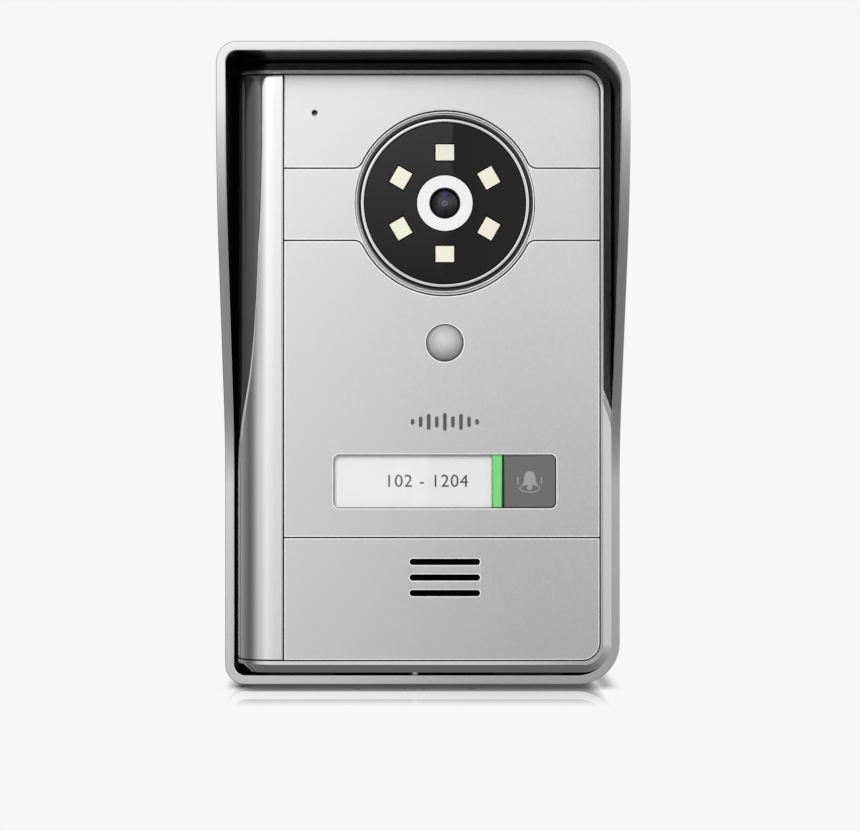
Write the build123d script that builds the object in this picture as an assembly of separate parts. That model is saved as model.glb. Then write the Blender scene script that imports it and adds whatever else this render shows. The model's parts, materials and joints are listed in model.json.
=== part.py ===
from build123d import *
import math
import os

# Door station in a rain hood. Millimetres. X to the right as a visitor sees it, Z up, wall at y = 0,
# and the front faces -Y. A "depth" below is a distance in front of the wall, so depth d is y = -d.

# ---- rain hood -------------------------------------------------------------------------------
HOOD_HALF_WIDTH = 49.35
HOOD_BOTTOM = -78.3
HOOD_TOP_AT_WALL = 80.0
HOOD_TOP_AT_LIP = 78.4
HOOD_RADIUS_LEFT = 5.0
HOOD_RADIUS_RIGHT = 10.5
HOOD_WALL = 1.0
HOOD_BACK = 1.5
LIP_WIDTH = 2.3
LIP_THICKNESS = 1.2
LOWER_DEPTH = 27.0            # depth of the lip beside the lower half
SWEEP_ANGLE = 21.0            # slope of the side edge between its two arcs
SWEEP_START_Z = -28.0
SWEEP_END_Z = 64.0
LOWER_SWEEP_RADIUS = 58.0
UPPER_SWEEP_RADIUS = 100.0
LINER_GAP = 0.05
LINER_WALL = 0.8
LINER_BACK = 1.3

# ---- wall interface --------------------------------------------------------------------------
WALL_SCREW_X = 30.0
WALL_SCREW_Z = 60.0
WALL_SCREW_HOLE_R = 2.25
CABLE_Z = -30.0
CABLE_BORE_R = 5.0
GROMMET_SEAT_R = 7.5
HOOK_X = 25.0
HOOK_Z = 50.0
FLOOR_FEATURE_X = -2.0        # middle of the locking screw and drains on the hood's floor
LOCK_DEPTH = 24.0
LOCK_HEAD_R = 2.4
LOCK_R = 1.25
DRAIN_OFFSET = 14.4
DRAIN_R = 0.9
FLOOR_PAD_OFFSET = 28.5
FLOOR_PAD_LENGTH = 17.0

# ---- door station body -----------------------------------------------------------------------
FACE_DEPTH = 31.0
PLATE = 1.0
BODY_LEFT = -47.2
BODY_RIGHT = 47.0
BODY_BOTTOM = -75.05
BODY_TOP = 76.8
BODY_RADIUS_RIGHT = 7.0
HOUSING_RADIUS_LEFT = 2.0
BEVEL = 2.2
COLUMN_EDGE_X = -34.5
COLUMN_CROWN_R = 37.0         # slight crown of the column's front
COLUMN_CORNER_R = 7.7         # and the round that leads to its side
FRAME_BACK = 21.0
WEB_INSET = 2.7
LINE_RIGHT = 44.15            # the frame's edge at the joint line round the face plate
LINE_BOTTOM = -71.95
LINE_TOP = 73.75
LINE_RADIUS = 4.65
JOINT_GAP = 0.3
SEAM_GAP = 0.15               # half the gap between the column and the face plate
SEAL = 1.0
HOUSING_BACK = 7.0
HOUSING_WALL = 2.0

# ---- features on the face --------------------------------------------------------------------
MIDDLE_X = 5.5
CAMERA_Z = 41.6
PLATE_HOLE_R = 22.35
BEZEL_R = 22.25
BEZEL_BORE_R = 20.9
TRIM_BORE_R = 20.1
WINDOW_R = 20.0
WHITE_RING_R = 6.9
LENS_R = 3.8
GLASS_R = 3.45
LED_CIRCLE_R = 12.6
LED_WIDTH = 4.6
LED_HEIGHT = 4.0
LED_COUNT = 6
ENGRAVED_R = 22.9
ENGRAVED_FILLET = 2.5
ENGRAVED_WIDTH = 0.35
ENGRAVED_DEPTH = 0.3
ENGRAVED_UPPER_Z = 50.3
ENGRAVED_MIDDLE_Z = 32.4
ENGRAVED_LOWER_Z = -41.3
PIR_Z = 7.0
PIR_R = 4.5
PIR_PROUD = 1.9
MARK_Z = -12.6
NAME_LEFT = -22.1
NAME_RIGHT = 33.1
NAME_BOTTOM = -34.0
NAME_TOP = -20.7
NAME_RADIUS = 1.45
BAR_LEFT = 17.26
BAR_RIGHT = 19.74
BUTTON_LEFT = 20.15
FIT_GAP = 0.15
SPEAKER_Z = -51.2
SPEAKER_R = 14.0
SLOT_LENGTH = 17.4
SLOT_HEIGHT = 1.5
SLOT_PITCH = 3.87
MIC_X = -26.8
MIC_Z = 64.0
MIC_HOLE_R = 0.7

# ---- inside ----------------------------------------------------------------------------------
BOARD_BACK = 17.0
BOARD = 1.6
BOARD_HALF_WIDTH = 33.0
BOARD_HALF_HEIGHT = 70.0
HOUSING_SCREW_X = 37.0
HOUSING_SCREW_Z = 67.0
BOARD_SCREW_X = 28.5
BOARD_SCREW_Z = 62.0
KEY_BOARD_BACK = 23.2
KEY_BOARD = 1.2
CARD_LIGHT_X = (-12.0, 6.0)
SWITCH_SIZE = 6.0
SWITCH_FRONT = 27.9
PLUNGER_R = 1.7
PLUNGER_FRONT = 28.9
TERMINAL_POLES = 4
TERMINAL_PITCH = 5.08
TERMINAL_TOP = -37.0
TERMINAL_BOTTOM = -47.0
TERMINAL_BACK = 10.0

LINER_BACK_DEPTH = HOOD_BACK + LINER_GAP
LINER_FRONT_DEPTH = LINER_BACK_DEPTH + LINER_BACK
LINER_FLOOR = HOOD_BOTTOM + HOOD_WALL + LINER_GAP + LINER_WALL
NAME_MIDDLE_Z = (NAME_BOTTOM + NAME_TOP) / 2
BUTTON_RIGHT = NAME_RIGHT - FIT_GAP
BUTTON_MIDDLE_X = (BUTTON_LEFT + BUTTON_RIGHT) / 2
BOARD_FRONT = BOARD_BACK + BOARD
KEY_BOARD_FRONT = KEY_BOARD_BACK + KEY_BOARD
WEB_BACK = FACE_DEPTH - WEB_INSET
PLATE_BACK = FACE_DEPTH - PLATE
HOUSING_FRONT = FRAME_BACK - SEAL
HOUSING_SCREWS = [(x, z) for x in (-HOUSING_SCREW_X, HOUSING_SCREW_X)
                  for z in (-HOUSING_SCREW_Z, 0, HOUSING_SCREW_Z)]
BOARD_SCREWS = [(x, z) for x in (-BOARD_SCREW_X, BOARD_SCREW_X)
                for z in (-BOARD_SCREW_Z, BOARD_SCREW_Z)]


# ---- shape helpers ---------------------------------------------------------------------------
def slab(shape, back, front):
    """A flat outline in X and Z, made solid between two depths."""
    return extrude(Plane.XZ.offset(back) * shape, front - back)


def disc(x, z, radius, back, front):
    return slab(Pos(x, z) * Circle(radius), back, front)


def ring(x, z, outer, inner, back, front):
    return slab(Pos(x, z) * (Circle(outer) - Circle(inner)), back, front)


def block(x0, x1, z0, z1, back, front):
    return slab(Pos((x0 + x1) / 2, (z0 + z1) / 2) * Rectangle(x1 - x0, z1 - z0), back, front)


def rounded(x0, x1, z0, z1, left, right):
    """A rectangle with one corner radius on the left side and one on the right."""
    shape = Pos((x0 + x1) / 2, (z0 + z1) / 2) * Rectangle(x1 - x0, z1 - z0)
    if left > 0:
        shape = fillet(shape.vertices().group_by(Axis.X)[0], left)
    if right > 0:
        shape = fillet(shape.vertices().group_by(Axis.X)[-1], right)
    return shape


def turned(points, x, z):
    """A closed outline of (radius, depth) points turned about an axis along Y."""
    profile = make_face(Polyline([(r, -depth) for r, depth in points], close=True))
    return Pos(x, 0, z) * revolve(profile, Axis.Y)


def camera_spots(radius):
    """Places round the camera, with the turn that faces each one outward."""
    for index in range(LED_COUNT):
        angle = 90 + index * 360 / LED_COUNT
        x = MIDDLE_X + radius * math.cos(math.radians(angle))
        z = CAMERA_Z + radius * math.sin(math.radians(angle))
        yield Pos(x, z) * Rot(0, 0, angle - 90)


# ---- rain hood and liner ---------------------------------------------------------------------
def sweep_points():
    """Rise of the side edge over each arc and over the straight between them."""
    slope = math.radians(SWEEP_ANGLE)
    lower_end = SWEEP_START_Z + LOWER_SWEEP_RADIUS * math.sin(slope)
    upper_start = SWEEP_END_Z - UPPER_SWEEP_RADIUS * math.sin(slope)
    lower_rise = LOWER_SWEEP_RADIUS * (1 - math.cos(slope))
    upper_rise = UPPER_SWEEP_RADIUS * (1 - math.cos(slope))
    straight_rise = (upper_start - lower_end) * math.tan(slope)
    return lower_end, upper_start, lower_rise, straight_rise, upper_rise


UPPER_DEPTH = LOWER_DEPTH + sum(sweep_points()[2:])


def behind_edge(shift):
    """Everything behind the hood's front edge, moved back by shift."""
    low = LOWER_DEPTH - shift
    high = UPPER_DEPTH - shift
    lower_arc = CenterArc((-low - LOWER_SWEEP_RADIUS, SWEEP_START_Z), LOWER_SWEEP_RADIUS, 0, SWEEP_ANGLE)
    upper_arc = CenterArc(
        (UPPER_SWEEP_RADIUS - high, SWEEP_END_Z), UPPER_SWEEP_RADIUS, 180 + SWEEP_ANGLE, -SWEEP_ANGLE
    )
    bottom = HOOD_BOTTOM - 5
    top = HOOD_TOP_AT_WALL + 5
    edge = [
        Line((5, bottom), (-low, bottom)),
        Line((-low, bottom), lower_arc @ 0),
        lower_arc,
        Line(lower_arc @ 1, upper_arc @ 0),
        upper_arc,
        Line(upper_arc @ 1, (-high, top)),
        Line((-high, top), (5, top)),
        Line((5, top), (5, bottom)),
    ]
    return extrude(Plane.YZ * make_face(edge), HOOD_HALF_WIDTH + 5, both=True)


def hood_outline(inset, depth):
    slope = (HOOD_TOP_AT_LIP - HOOD_TOP_AT_WALL) / UPPER_DEPTH
    top = HOOD_TOP_AT_WALL + slope * depth
    half = HOOD_HALF_WIDTH - inset
    shape = rounded(
        -half, half, HOOD_BOTTOM + inset, top - inset, HOOD_RADIUS_LEFT - inset, HOOD_RADIUS_RIGHT - inset
    )
    return Plane.XZ.offset(depth) * shape


def hood_block(inset, back, front):
    """The hood's outer shape moved in by inset, between two depths. Its roof falls to the front."""
    return loft([hood_outline(inset, back), hood_outline(inset, front)], ruled=True)


def wall_holes(back, front):
    holes = [
        disc(x, z, WALL_SCREW_HOLE_R, back, front)
        for x in (-WALL_SCREW_X, WALL_SCREW_X)
        for z in (-WALL_SCREW_Z, WALL_SCREW_Z)
    ]
    return holes + [disc(0, CABLE_Z, GROMMET_SEAT_R, back, front)]


def upright(x, radius, bottom, top, depth):
    """A round bar or bore standing along Z."""
    return extrude(Plane.XY.offset(bottom) * Pos(x, -depth) * Circle(radius), top - bottom)


def floor_drains(bottom, top):
    return [upright(FLOOR_FEATURE_X + side * DRAIN_OFFSET, DRAIN_R, bottom, top, LOCK_DEPTH)
            for side in (-1, 1)]


def make_rain_hood():
    beyond = UPPER_DEPTH + 2
    outer = hood_block(0, 0, UPPER_DEPTH)
    shell = outer - hood_block(HOOD_WALL, HOOD_BACK, beyond)
    rim = (outer - hood_block(LIP_WIDTH, 0, beyond)) - behind_edge(LIP_THICKNESS)
    hood = (shell + rim) & behind_edge(0)
    for hole in wall_holes(-1, HOOD_BACK + 1):
        hood -= hole
    hood -= upright(FLOOR_FEATURE_X, LOCK_HEAD_R + 0.2, HOOD_BOTTOM - 1, HOOD_BOTTOM + 2, LOCK_DEPTH)
    for drain in floor_drains(HOOD_BOTTOM - 1, HOOD_BOTTOM + 2):
        hood -= drain
    return hood


def make_hook(x):
    """A hook on the liner's back: a stem towards the front that turns up at its end."""
    stem = block(x - 4, x + 4, HOOK_Z - 1.5, HOOK_Z + 1.5, LINER_FRONT_DEPTH - 0.5, 12.0)
    tip = block(x - 4, x + 4, HOOK_Z - 1.5, HOOK_Z + 5, 10.0, 12.0)
    return stem + tip


def make_hood_liner():
    outer_inset = HOOD_WALL + LINER_GAP
    inner_inset = outer_inset + LINER_WALL
    outer = hood_block(outer_inset, LINER_BACK_DEPTH, UPPER_DEPTH)
    liner = outer - hood_block(inner_inset, LINER_FRONT_DEPTH, UPPER_DEPTH + 2)
    liner &= behind_edge(LIP_THICKNESS + LINER_GAP)
    for side in (-1, 1):
        liner += make_hook(side * HOOK_X)
        pad_x = FLOOR_FEATURE_X + side * FLOOR_PAD_OFFSET
        half = FLOOR_PAD_LENGTH / 2
        liner += block(pad_x - half, pad_x + half, LINER_FLOOR - 0.3, LINER_FLOOR + 0.6, 16, 25)
    for hole in wall_holes(1, LINER_FRONT_DEPTH + 1):
        liner -= hole
    liner -= upright(FLOOR_FEATURE_X, LOCK_R + 0.25, LINER_FLOOR - 2, LINER_FLOOR + 1, LOCK_DEPTH)
    for drain in floor_drains(LINER_FLOOR - 2, LINER_FLOOR + 1):
        liner -= drain
    return liner


def make_cable_grommet():
    """A rubber grommet with a lip on the station's side of the two back plates."""
    lip_front = LINER_FRONT_DEPTH + 1.2
    body = disc(0, CABLE_Z, GROMMET_SEAT_R - 0.05, 0, LINER_FRONT_DEPTH)
    body += disc(0, CABLE_Z, GROMMET_SEAT_R + 1.5, LINER_FRONT_DEPTH, lip_front)
    return body - disc(0, CABLE_Z, CABLE_BORE_R, -1, lip_front + 1)


def make_locking_screw():
    head = upright(FLOOR_FEATURE_X, LOCK_HEAD_R, HOOD_BOTTOM, HOOD_BOTTOM + HOOD_WALL, LOCK_DEPTH)
    socket = extrude(
        Plane.XY.offset(HOOD_BOTTOM) * Pos(FLOOR_FEATURE_X, -LOCK_DEPTH) * RegularPolygon(1.2, 6), 0.8
    )
    shank = upright(FLOOR_FEATURE_X, LOCK_R, HOOD_BOTTOM + HOOD_WALL, -70.0, LOCK_DEPTH)
    return head + shank - socket


# ---- frame, column and face plate ------------------------------------------------------------
def body_section(inset):
    """The body's outline seen from above: flat front, and a crown and a round corner on the left."""
    left = BODY_LEFT + inset
    front = -FACE_DEPTH + inset
    between = COLUMN_CROWN_R - COLUMN_CORNER_R
    corner_x = BODY_LEFT + COLUMN_CORNER_R
    lean = math.degrees(math.asin((COLUMN_EDGE_X - corner_x) / between))
    crown_y = -FACE_DEPTH + COLUMN_CROWN_R
    corner_y = crown_y - between * math.cos(math.radians(lean))
    right = BODY_RIGHT - inset
    outline = [
        Line((left, -FRAME_BACK + 5), (left, corner_y)),
        CenterArc((corner_x, corner_y), COLUMN_CORNER_R - inset, 180, 90 - lean),
        CenterArc((COLUMN_EDGE_X, crown_y), COLUMN_CROWN_R - inset, 270 - lean, lean),
        Line((COLUMN_EDGE_X, front), (right, front)),
        Line((right, front), (right, -FRAME_BACK + 5)),
        Line((right, -FRAME_BACK + 5), (left, -FRAME_BACK + 5)),
    ]
    return make_face(outline)


def body_block(inset, bottom, top):
    return extrude(Plane.XY.offset(bottom) * body_section(inset), top - bottom)


def window_block(gap, left, right, radius):
    """The area inside the joint line, as a tall block, with a gap left to the line."""
    outline = rounded(left, right, LINE_BOTTOM + gap, LINE_TOP - gap, 0, radius)
    return slab(outline, FRAME_BACK - 10, FACE_DEPTH + 5)


def column_side_blank():
    """The frame's left part, whose end bevels follow the column's curve."""
    middle = body_block(0, BODY_BOTTOM + BEVEL, BODY_TOP - BEVEL)
    ends = [
        loft([Plane.XY.offset(end) * body_section(BEVEL), Plane.XY.offset(inner) * body_section(0)],
             ruled=True)
        for end, inner in ((BODY_BOTTOM, BODY_BOTTOM + BEVEL), (BODY_TOP, BODY_TOP - BEVEL))
    ]
    return (middle + ends) & block(-60, COLUMN_EDGE_X, -90, 90, 0, FACE_DEPTH + 5)


def flat_side_blank():
    """The frame's flat part, bevelled round its top, right side and bottom."""
    outer = rounded(COLUMN_EDGE_X, BODY_RIGHT, BODY_BOTTOM, BODY_TOP, 0, BODY_RADIUS_RIGHT)
    rim = rounded(
        COLUMN_EDGE_X, BODY_RIGHT - BEVEL, BODY_BOTTOM + BEVEL, BODY_TOP - BEVEL, 0, BODY_RADIUS_RIGHT - BEVEL
    )
    bevel_back = FACE_DEPTH - BEVEL
    bevel = loft([Plane.XZ.offset(bevel_back) * outer, Plane.XZ.offset(FACE_DEPTH) * rim], ruled=True)
    return slab(outer, FRAME_BACK, bevel_back) + bevel


def face_openings(back, front, grow):
    """Cut-outs for everything that shows through the face, made larger by grow."""
    name = rounded(
        NAME_LEFT - grow, NAME_RIGHT + grow, NAME_BOTTOM - grow, NAME_TOP + grow, NAME_RADIUS, NAME_RADIUS
    )
    return [
        disc(MIDDLE_X, CAMERA_Z, PLATE_HOLE_R + grow, back, front),
        disc(MIDDLE_X, PIR_Z, PIR_R + FIT_GAP + grow, back, front),
        slab(name, back, front),
    ]


def make_front_frame():
    frame = column_side_blank() + flat_side_blank()
    frame -= block(-60, 60, -90, 90, 0, FRAME_BACK)
    frame -= body_block(WEB_INSET, BODY_BOTTOM + WEB_INSET, BODY_TOP - WEB_INSET) & block(
        -60, 60, -90, 90, 0, WEB_BACK
    )
    pocket = window_block(0, -60, LINE_RIGHT, LINE_RADIUS)
    frame -= pocket - body_block(PLATE + 0.1, -90, 90)
    for opening in face_openings(WEB_BACK - 1, FACE_DEPTH + 1, 1.85):
        frame -= opening
    frame -= block(-25.3, 36.8, -36.2, -18.1, WEB_BACK - 1, FACE_DEPTH + 1)
    frame -= disc(MIDDLE_X, SPEAKER_Z, SPEAKER_R - 0.1, WEB_BACK - 1, FACE_DEPTH + 1)
    frame -= disc(MIC_X, MIC_Z, 4.4, WEB_BACK - 1, FACE_DEPTH + 1)
    for x, z in HOUSING_SCREWS:
        frame += disc(x, z, 3.2, FRAME_BACK + 0.5, WEB_BACK + 0.5)
        frame -= disc(x, z, 1.3, FRAME_BACK, WEB_BACK - 0.5)
    frame += upright(FLOOR_FEATURE_X, 2.8, BODY_BOTTOM + 1, -69.0, LOCK_DEPTH)
    frame -= upright(FLOOR_FEATURE_X, LOCK_R + 0.05, BODY_BOTTOM - 1, -69.5, LOCK_DEPTH)
    return frame


def make_side_column():
    shell = body_block(0, -90, 90) - body_block(PLATE, -91, 91)
    shell &= window_block(JOINT_GAP, -60, COLUMN_EDGE_X - SEAM_GAP, 0)
    return shell - block(-60, 60, -90, 90, 0, FRAME_BACK + 0.2)


def engraved_arc_line(z):
    """A line across the face that goes round the camera on the side it lies on."""
    side = 1 if z > CAMERA_Z else -1
    rise = abs(z - CAMERA_Z) + ENGRAVED_FILLET
    reach = math.sqrt((ENGRAVED_R + ENGRAVED_FILLET) ** 2 - rise ** 2)
    tilt = math.degrees(math.atan2(rise, reach))
    top_arc = CenterArc((0, 0), ENGRAVED_R, tilt, 180 - 2 * tilt)
    right_arc = CenterArc((reach, rise), ENGRAVED_FILLET, 180 + tilt, 90 - tilt)
    left_arc = CenterArc((-reach, rise), ENGRAVED_FILLET, 270, 90 - tilt)
    level = rise - ENGRAVED_FILLET
    left_end = COLUMN_EDGE_X - MIDDLE_X
    right_end = LINE_RIGHT - MIDDLE_X
    path = [
        Line((left_end, level), (-reach, level)),
        left_arc,
        top_arc,
        right_arc,
        Line((reach, level), (right_end, level)),
    ]
    groove = Sketch() + [trace(piece, ENGRAVED_WIDTH) for piece in path]
    if side < 0:
        groove = mirror(groove, Plane.XZ)
    return Pos(MIDDLE_X, CAMERA_Z) * groove


def speaker_slots():
    for index in (-1, 0, 1):
        yield Pos(MIDDLE_X, SPEAKER_Z + index * SLOT_PITCH) * SlotOverall(SLOT_LENGTH, SLOT_HEIGHT)


def make_face_plate():
    outline = rounded(
        COLUMN_EDGE_X + SEAM_GAP,
        LINE_RIGHT - JOINT_GAP,
        LINE_BOTTOM + JOINT_GAP,
        LINE_TOP - JOINT_GAP,
        0,
        LINE_RADIUS - JOINT_GAP,
    )
    plate = slab(outline, PLATE_BACK, FACE_DEPTH)
    for opening in face_openings(PLATE_BACK - 1, FACE_DEPTH + 1, 0):
        plate -= opening
    for slot in speaker_slots():
        plate -= slab(slot, PLATE_BACK - 1, FACE_DEPTH + 1)
    plate -= disc(MIC_X, MIC_Z, MIC_HOLE_R, PLATE_BACK - 1, FACE_DEPTH + 1)
    groove_back = FACE_DEPTH - ENGRAVED_DEPTH
    for z in (ENGRAVED_UPPER_Z, ENGRAVED_MIDDLE_Z):
        plate -= slab(engraved_arc_line(z), groove_back, FACE_DEPTH + 1)
    half = ENGRAVED_WIDTH / 2
    plate -= block(-60, 60, ENGRAVED_LOWER_Z - half, ENGRAVED_LOWER_Z + half, groove_back, FACE_DEPTH + 1)
    return plate


# ---- camera ----------------------------------------------------------------------------------
def make_camera_bezel():
    """A ring that stands proud of the face and rolls down inward, with a flange behind the plate."""
    profile = [
        (BEZEL_BORE_R, 28.9),
        (23.9, 28.9),
        (23.9, PLATE_BACK - 0.1),
        (BEZEL_R, PLATE_BACK - 0.1),
        (BEZEL_R, FACE_DEPTH + 0.35),
        (BEZEL_R - 0.15, FACE_DEPTH + 0.5),
        (BEZEL_R - 0.45, FACE_DEPTH + 0.48),
        (BEZEL_R - 0.8, FACE_DEPTH + 0.32),
        (BEZEL_BORE_R + 0.25, FACE_DEPTH + 0.05),
        (BEZEL_BORE_R, FACE_DEPTH - 0.4),
    ]
    return turned(profile, MIDDLE_X, CAMERA_Z)


def make_camera_trim_ring():
    trim = ring(MIDDLE_X, CAMERA_Z, BEZEL_BORE_R - 0.05, TRIM_BORE_R, 29.5, FACE_DEPTH + 0.5)
    return fillet(trim.edges().filter_by(GeomType.CIRCLE).group_by(Axis.Y)[0], 0.2)


def make_camera_window():
    window = ring(MIDDLE_X, CAMERA_Z, WINDOW_R, WHITE_RING_R + 0.05, 29.5, FACE_DEPTH + 0.2)
    for spot in camera_spots(LED_CIRCLE_R):
        window -= slab(spot * Rectangle(LED_WIDTH + 0.1, LED_HEIGHT + 0.1), 29, FACE_DEPTH + 1)
    return window


def make_led_windows():
    return [slab(spot * Rectangle(LED_WIDTH, LED_HEIGHT), 27.7, FACE_DEPTH + 0.15)
            for spot in camera_spots(LED_CIRCLE_R)]


def make_night_leds():
    return [slab(spot * Rectangle(3.5, 2.8), 26.35, 27.5) for spot in camera_spots(LED_CIRCLE_R)]


def make_camera_carrier():
    """A black cup behind the window that holds the lamp board round the lens."""
    cup = disc(MIDDLE_X, CAMERA_Z, 23.5, 23.5, 28.8)
    cup -= disc(MIDDLE_X, CAMERA_Z, 21.5, 25.0, 30)
    return cup - disc(MIDDLE_X, CAMERA_Z, 4.4, 20, 30)


def make_lens_barrel():
    """A lens tube with a seat for the wide front glass and a stepped throat behind it."""
    profile = [
        (0, 21.2),
        (LENS_R - 0.05, 21.2),
        (LENS_R - 0.05, FACE_DEPTH),
        (GLASS_R + 0.1, FACE_DEPTH + 0.1),
        (GLASS_R + 0.05, FACE_DEPTH),
        (GLASS_R + 0.05, FACE_DEPTH - 1.2),
        (2.6, FACE_DEPTH - 1.2),
        (2.4, FACE_DEPTH - 2.0),
        (1.8, FACE_DEPTH - 2.0),
        (1.6, FACE_DEPTH - 3.2),
        (0, FACE_DEPTH - 3.2),
    ]
    return turned(profile, MIDDLE_X, CAMERA_Z)


def make_lens_glass():
    """The wide front element, a shallow dome with a straight edge, on the barrel's seat."""
    sag = 0.6
    base = FACE_DEPTH - 1.15
    dome_radius = (GLASS_R ** 2 + sag ** 2) / (2 * sag)
    dome = Pos(MIDDLE_X, -(base + 0.5 + sag - dome_radius), CAMERA_Z) * Sphere(dome_radius)
    return dome & disc(MIDDLE_X, CAMERA_Z, GLASS_R, base, FACE_DEPTH)


def make_sensor_holder():
    holder = block(MIDDLE_X - 5.5, MIDDLE_X + 5.5, CAMERA_Z - 5.5, CAMERA_Z + 5.5, 20.45, 23.4)
    return holder - disc(MIDDLE_X, CAMERA_Z, LENS_R, 21.1, 24)


# ---- nameplate and call button ---------------------------------------------------------------
def make_nameplate_tray():
    """The plastic tray behind the opening: card bay, lamp slot and button bay."""
    tray = block(-25, 36.5, -36.0, -18.3, 26.0, PLATE_BACK - 0.1)
    tray -= block(NAME_LEFT - 0.1, BAR_LEFT, NAME_BOTTOM, NAME_TOP, 29.45, PLATE_BACK)
    tray -= block(BAR_LEFT - 0.06, 34.6, -35.4, -19.3, 27.2, PLATE_BACK)
    switch_hole = SWITCH_SIZE / 2 + 0.4
    tray -= block(
        BUTTON_MIDDLE_X - switch_hole,
        BUTTON_MIDDLE_X + switch_hole,
        NAME_MIDDLE_Z - switch_hole,
        NAME_MIDDLE_Z + switch_hole,
        25,
        PLATE_BACK,
    )
    tray -= block(BAR_LEFT + 0.4, BAR_RIGHT - 0.4, -32, -23, 25, PLATE_BACK)
    for x in CARD_LIGHT_X:
        tray -= block(x - 5, x + 5, NAME_MIDDLE_Z - 3, NAME_MIDDLE_Z + 3, 25, PLATE_BACK)
    return tray


def make_nameplate_window():
    outline = rounded(
        NAME_LEFT + FIT_GAP, BAR_LEFT - 0.1, NAME_BOTTOM + FIT_GAP, NAME_TOP - FIT_GAP, NAME_RADIUS - FIT_GAP, 0
    )
    return slab(outline, 29.85, FACE_DEPTH - 0.1)


def make_status_light_bar():
    bar = block(BAR_LEFT, BAR_RIGHT, NAME_BOTTOM + FIT_GAP, NAME_TOP - FIT_GAP, 27.3, FACE_DEPTH - 0.1)
    return fillet(bar.edges().filter_by(Axis.Z).group_by(Axis.Y)[0], 0.2)


def button_outline(grow):
    left = BUTTON_LEFT
    right = BUTTON_RIGHT + grow
    low = NAME_BOTTOM + FIT_GAP - grow
    high = NAME_TOP - FIT_GAP + grow
    return rounded(left, right, low, high, 0, NAME_RADIUS - FIT_GAP)


def make_call_button():
    """The key: a cap that fills the opening's end, with a retaining flange behind the plate."""
    cap_back = PLUNGER_FRONT + 0.05
    cap = slab(button_outline(0), cap_back, FACE_DEPTH - 0.05)
    cap = fillet(cap.edges().group_by(Axis.Y)[0], 0.2)
    return cap + slab(button_outline(0.95), cap_back, PLATE_BACK - 0.3)


def make_bell_symbol():
    """A hand bell tipped to show its mouth and clapper, and two sound arcs: a thin inlay on the key."""
    x = BUTTON_MIDDLE_X
    mouth = NAME_MIDDLE_Z - 1.7
    front = FACE_DEPTH + 0.02
    back = FACE_DEPTH - 0.05
    side = Spline(
        (0, 4.2), (1.0, 3.75), (1.35, 2.9), (1.5, 1.9), (1.8, 1.0), (2.45, 0.3),
        tangents=((1, 0), (0.7, -0.7)),
    )
    body = make_face(Curve() + [side, mirror(side, about=Plane.YZ), Line((-2.45, 0.3), (2.45, 0.3))])
    bell = body + Ellipse(2.6, 1.1) - Ellipse(2.32, 0.82)
    bell += Pos(0, 0.2) * Circle(0.68)
    solids = [slab(Pos(x, mouth) * bell, back, front)]
    for side_angle in (-18, 162):
        arc = CenterArc((0, 0), 2.95, side_angle, 36)
        solids.append(slab(Pos(x, mouth + 1.9) * trace(arc, 0.3), back, front))
    return solids


def make_sound_mark():
    """A printed row of rounded bars of different heights, a plain sound-level sign."""
    heights = (1.4, 2.6, 4.0, 2.8, 4.4, 2.8, 4.0, 2.6, 1.4)
    pitch = 2.0
    first = MIDDLE_X - pitch * (len(heights) - 1) / 2
    return [
        slab(Pos(first + index * pitch, MARK_Z) * Rot(0, 0, 90) * SlotOverall(height, 0.9),
             FACE_DEPTH, FACE_DEPTH + 0.05)
        for index, height in enumerate(heights)
    ]


def make_call_switch():
    """A tact switch body with a well for its plunger."""
    half = SWITCH_SIZE / 2
    body = block(
        BUTTON_MIDDLE_X - half,
        BUTTON_MIDDLE_X + half,
        NAME_MIDDLE_Z - half,
        NAME_MIDDLE_Z + half,
        KEY_BOARD_FRONT,
        SWITCH_FRONT,
    )
    return body - disc(BUTTON_MIDDLE_X, NAME_MIDDLE_Z, PLUNGER_R + 0.1, 26.1, SWITCH_FRONT + 1)


def make_switch_plunger():
    return disc(BUTTON_MIDDLE_X, NAME_MIDDLE_Z, PLUNGER_R, 26.8, PLUNGER_FRONT)


def make_key_lamps():
    spots = [(x, NAME_MIDDLE_Z) for x in CARD_LIGHT_X]
    spots += [((BAR_LEFT + BAR_RIGHT) / 2, z) for z in (-30.0, -25.0)]
    return [block(x - 0.8, x + 0.8, z - 1.0, z + 1.0, KEY_BOARD_FRONT, KEY_BOARD_FRONT + 0.8)
            for x, z in spots]


# ---- sensors and sound -----------------------------------------------------------------------
def make_pir_dome():
    """The motion detector's lens: a shallow dome with a flange behind the plate."""
    rise = PIR_PROUD
    dome_radius = (PIR_R ** 2 + rise ** 2) / (2 * rise)
    centre = FACE_DEPTH + rise - dome_radius
    dome = Pos(MIDDLE_X, -centre, PIR_Z) * (Sphere(dome_radius) - Sphere(dome_radius - 0.8))
    dome &= disc(MIDDLE_X, PIR_Z, PIR_R, FACE_DEPTH - 0.1, FACE_DEPTH + rise + 1)
    collar = ring(MIDDLE_X, PIR_Z, PIR_R, PIR_R - 0.9, PLATE_BACK - 1.0, FACE_DEPTH)
    flange = ring(MIDDLE_X, PIR_Z, PIR_R + 1.3, PIR_R - 0.9, PLATE_BACK - 1.0, PLATE_BACK - 0.1)
    return dome + collar + flange


def make_pir_sensor():
    can = disc(MIDDLE_X, PIR_Z, 4.1, 23.5, 27.6) + disc(MIDDLE_X, PIR_Z, 4.6, 23.0, 23.6)
    for angle in (90, 210, 330):
        x = MIDDLE_X + 2.5 * math.cos(math.radians(angle))
        z = PIR_Z + 2.5 * math.sin(math.radians(angle))
        can += disc(x, z, 0.25, BOARD_FRONT, 23.2)
    return can


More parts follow.
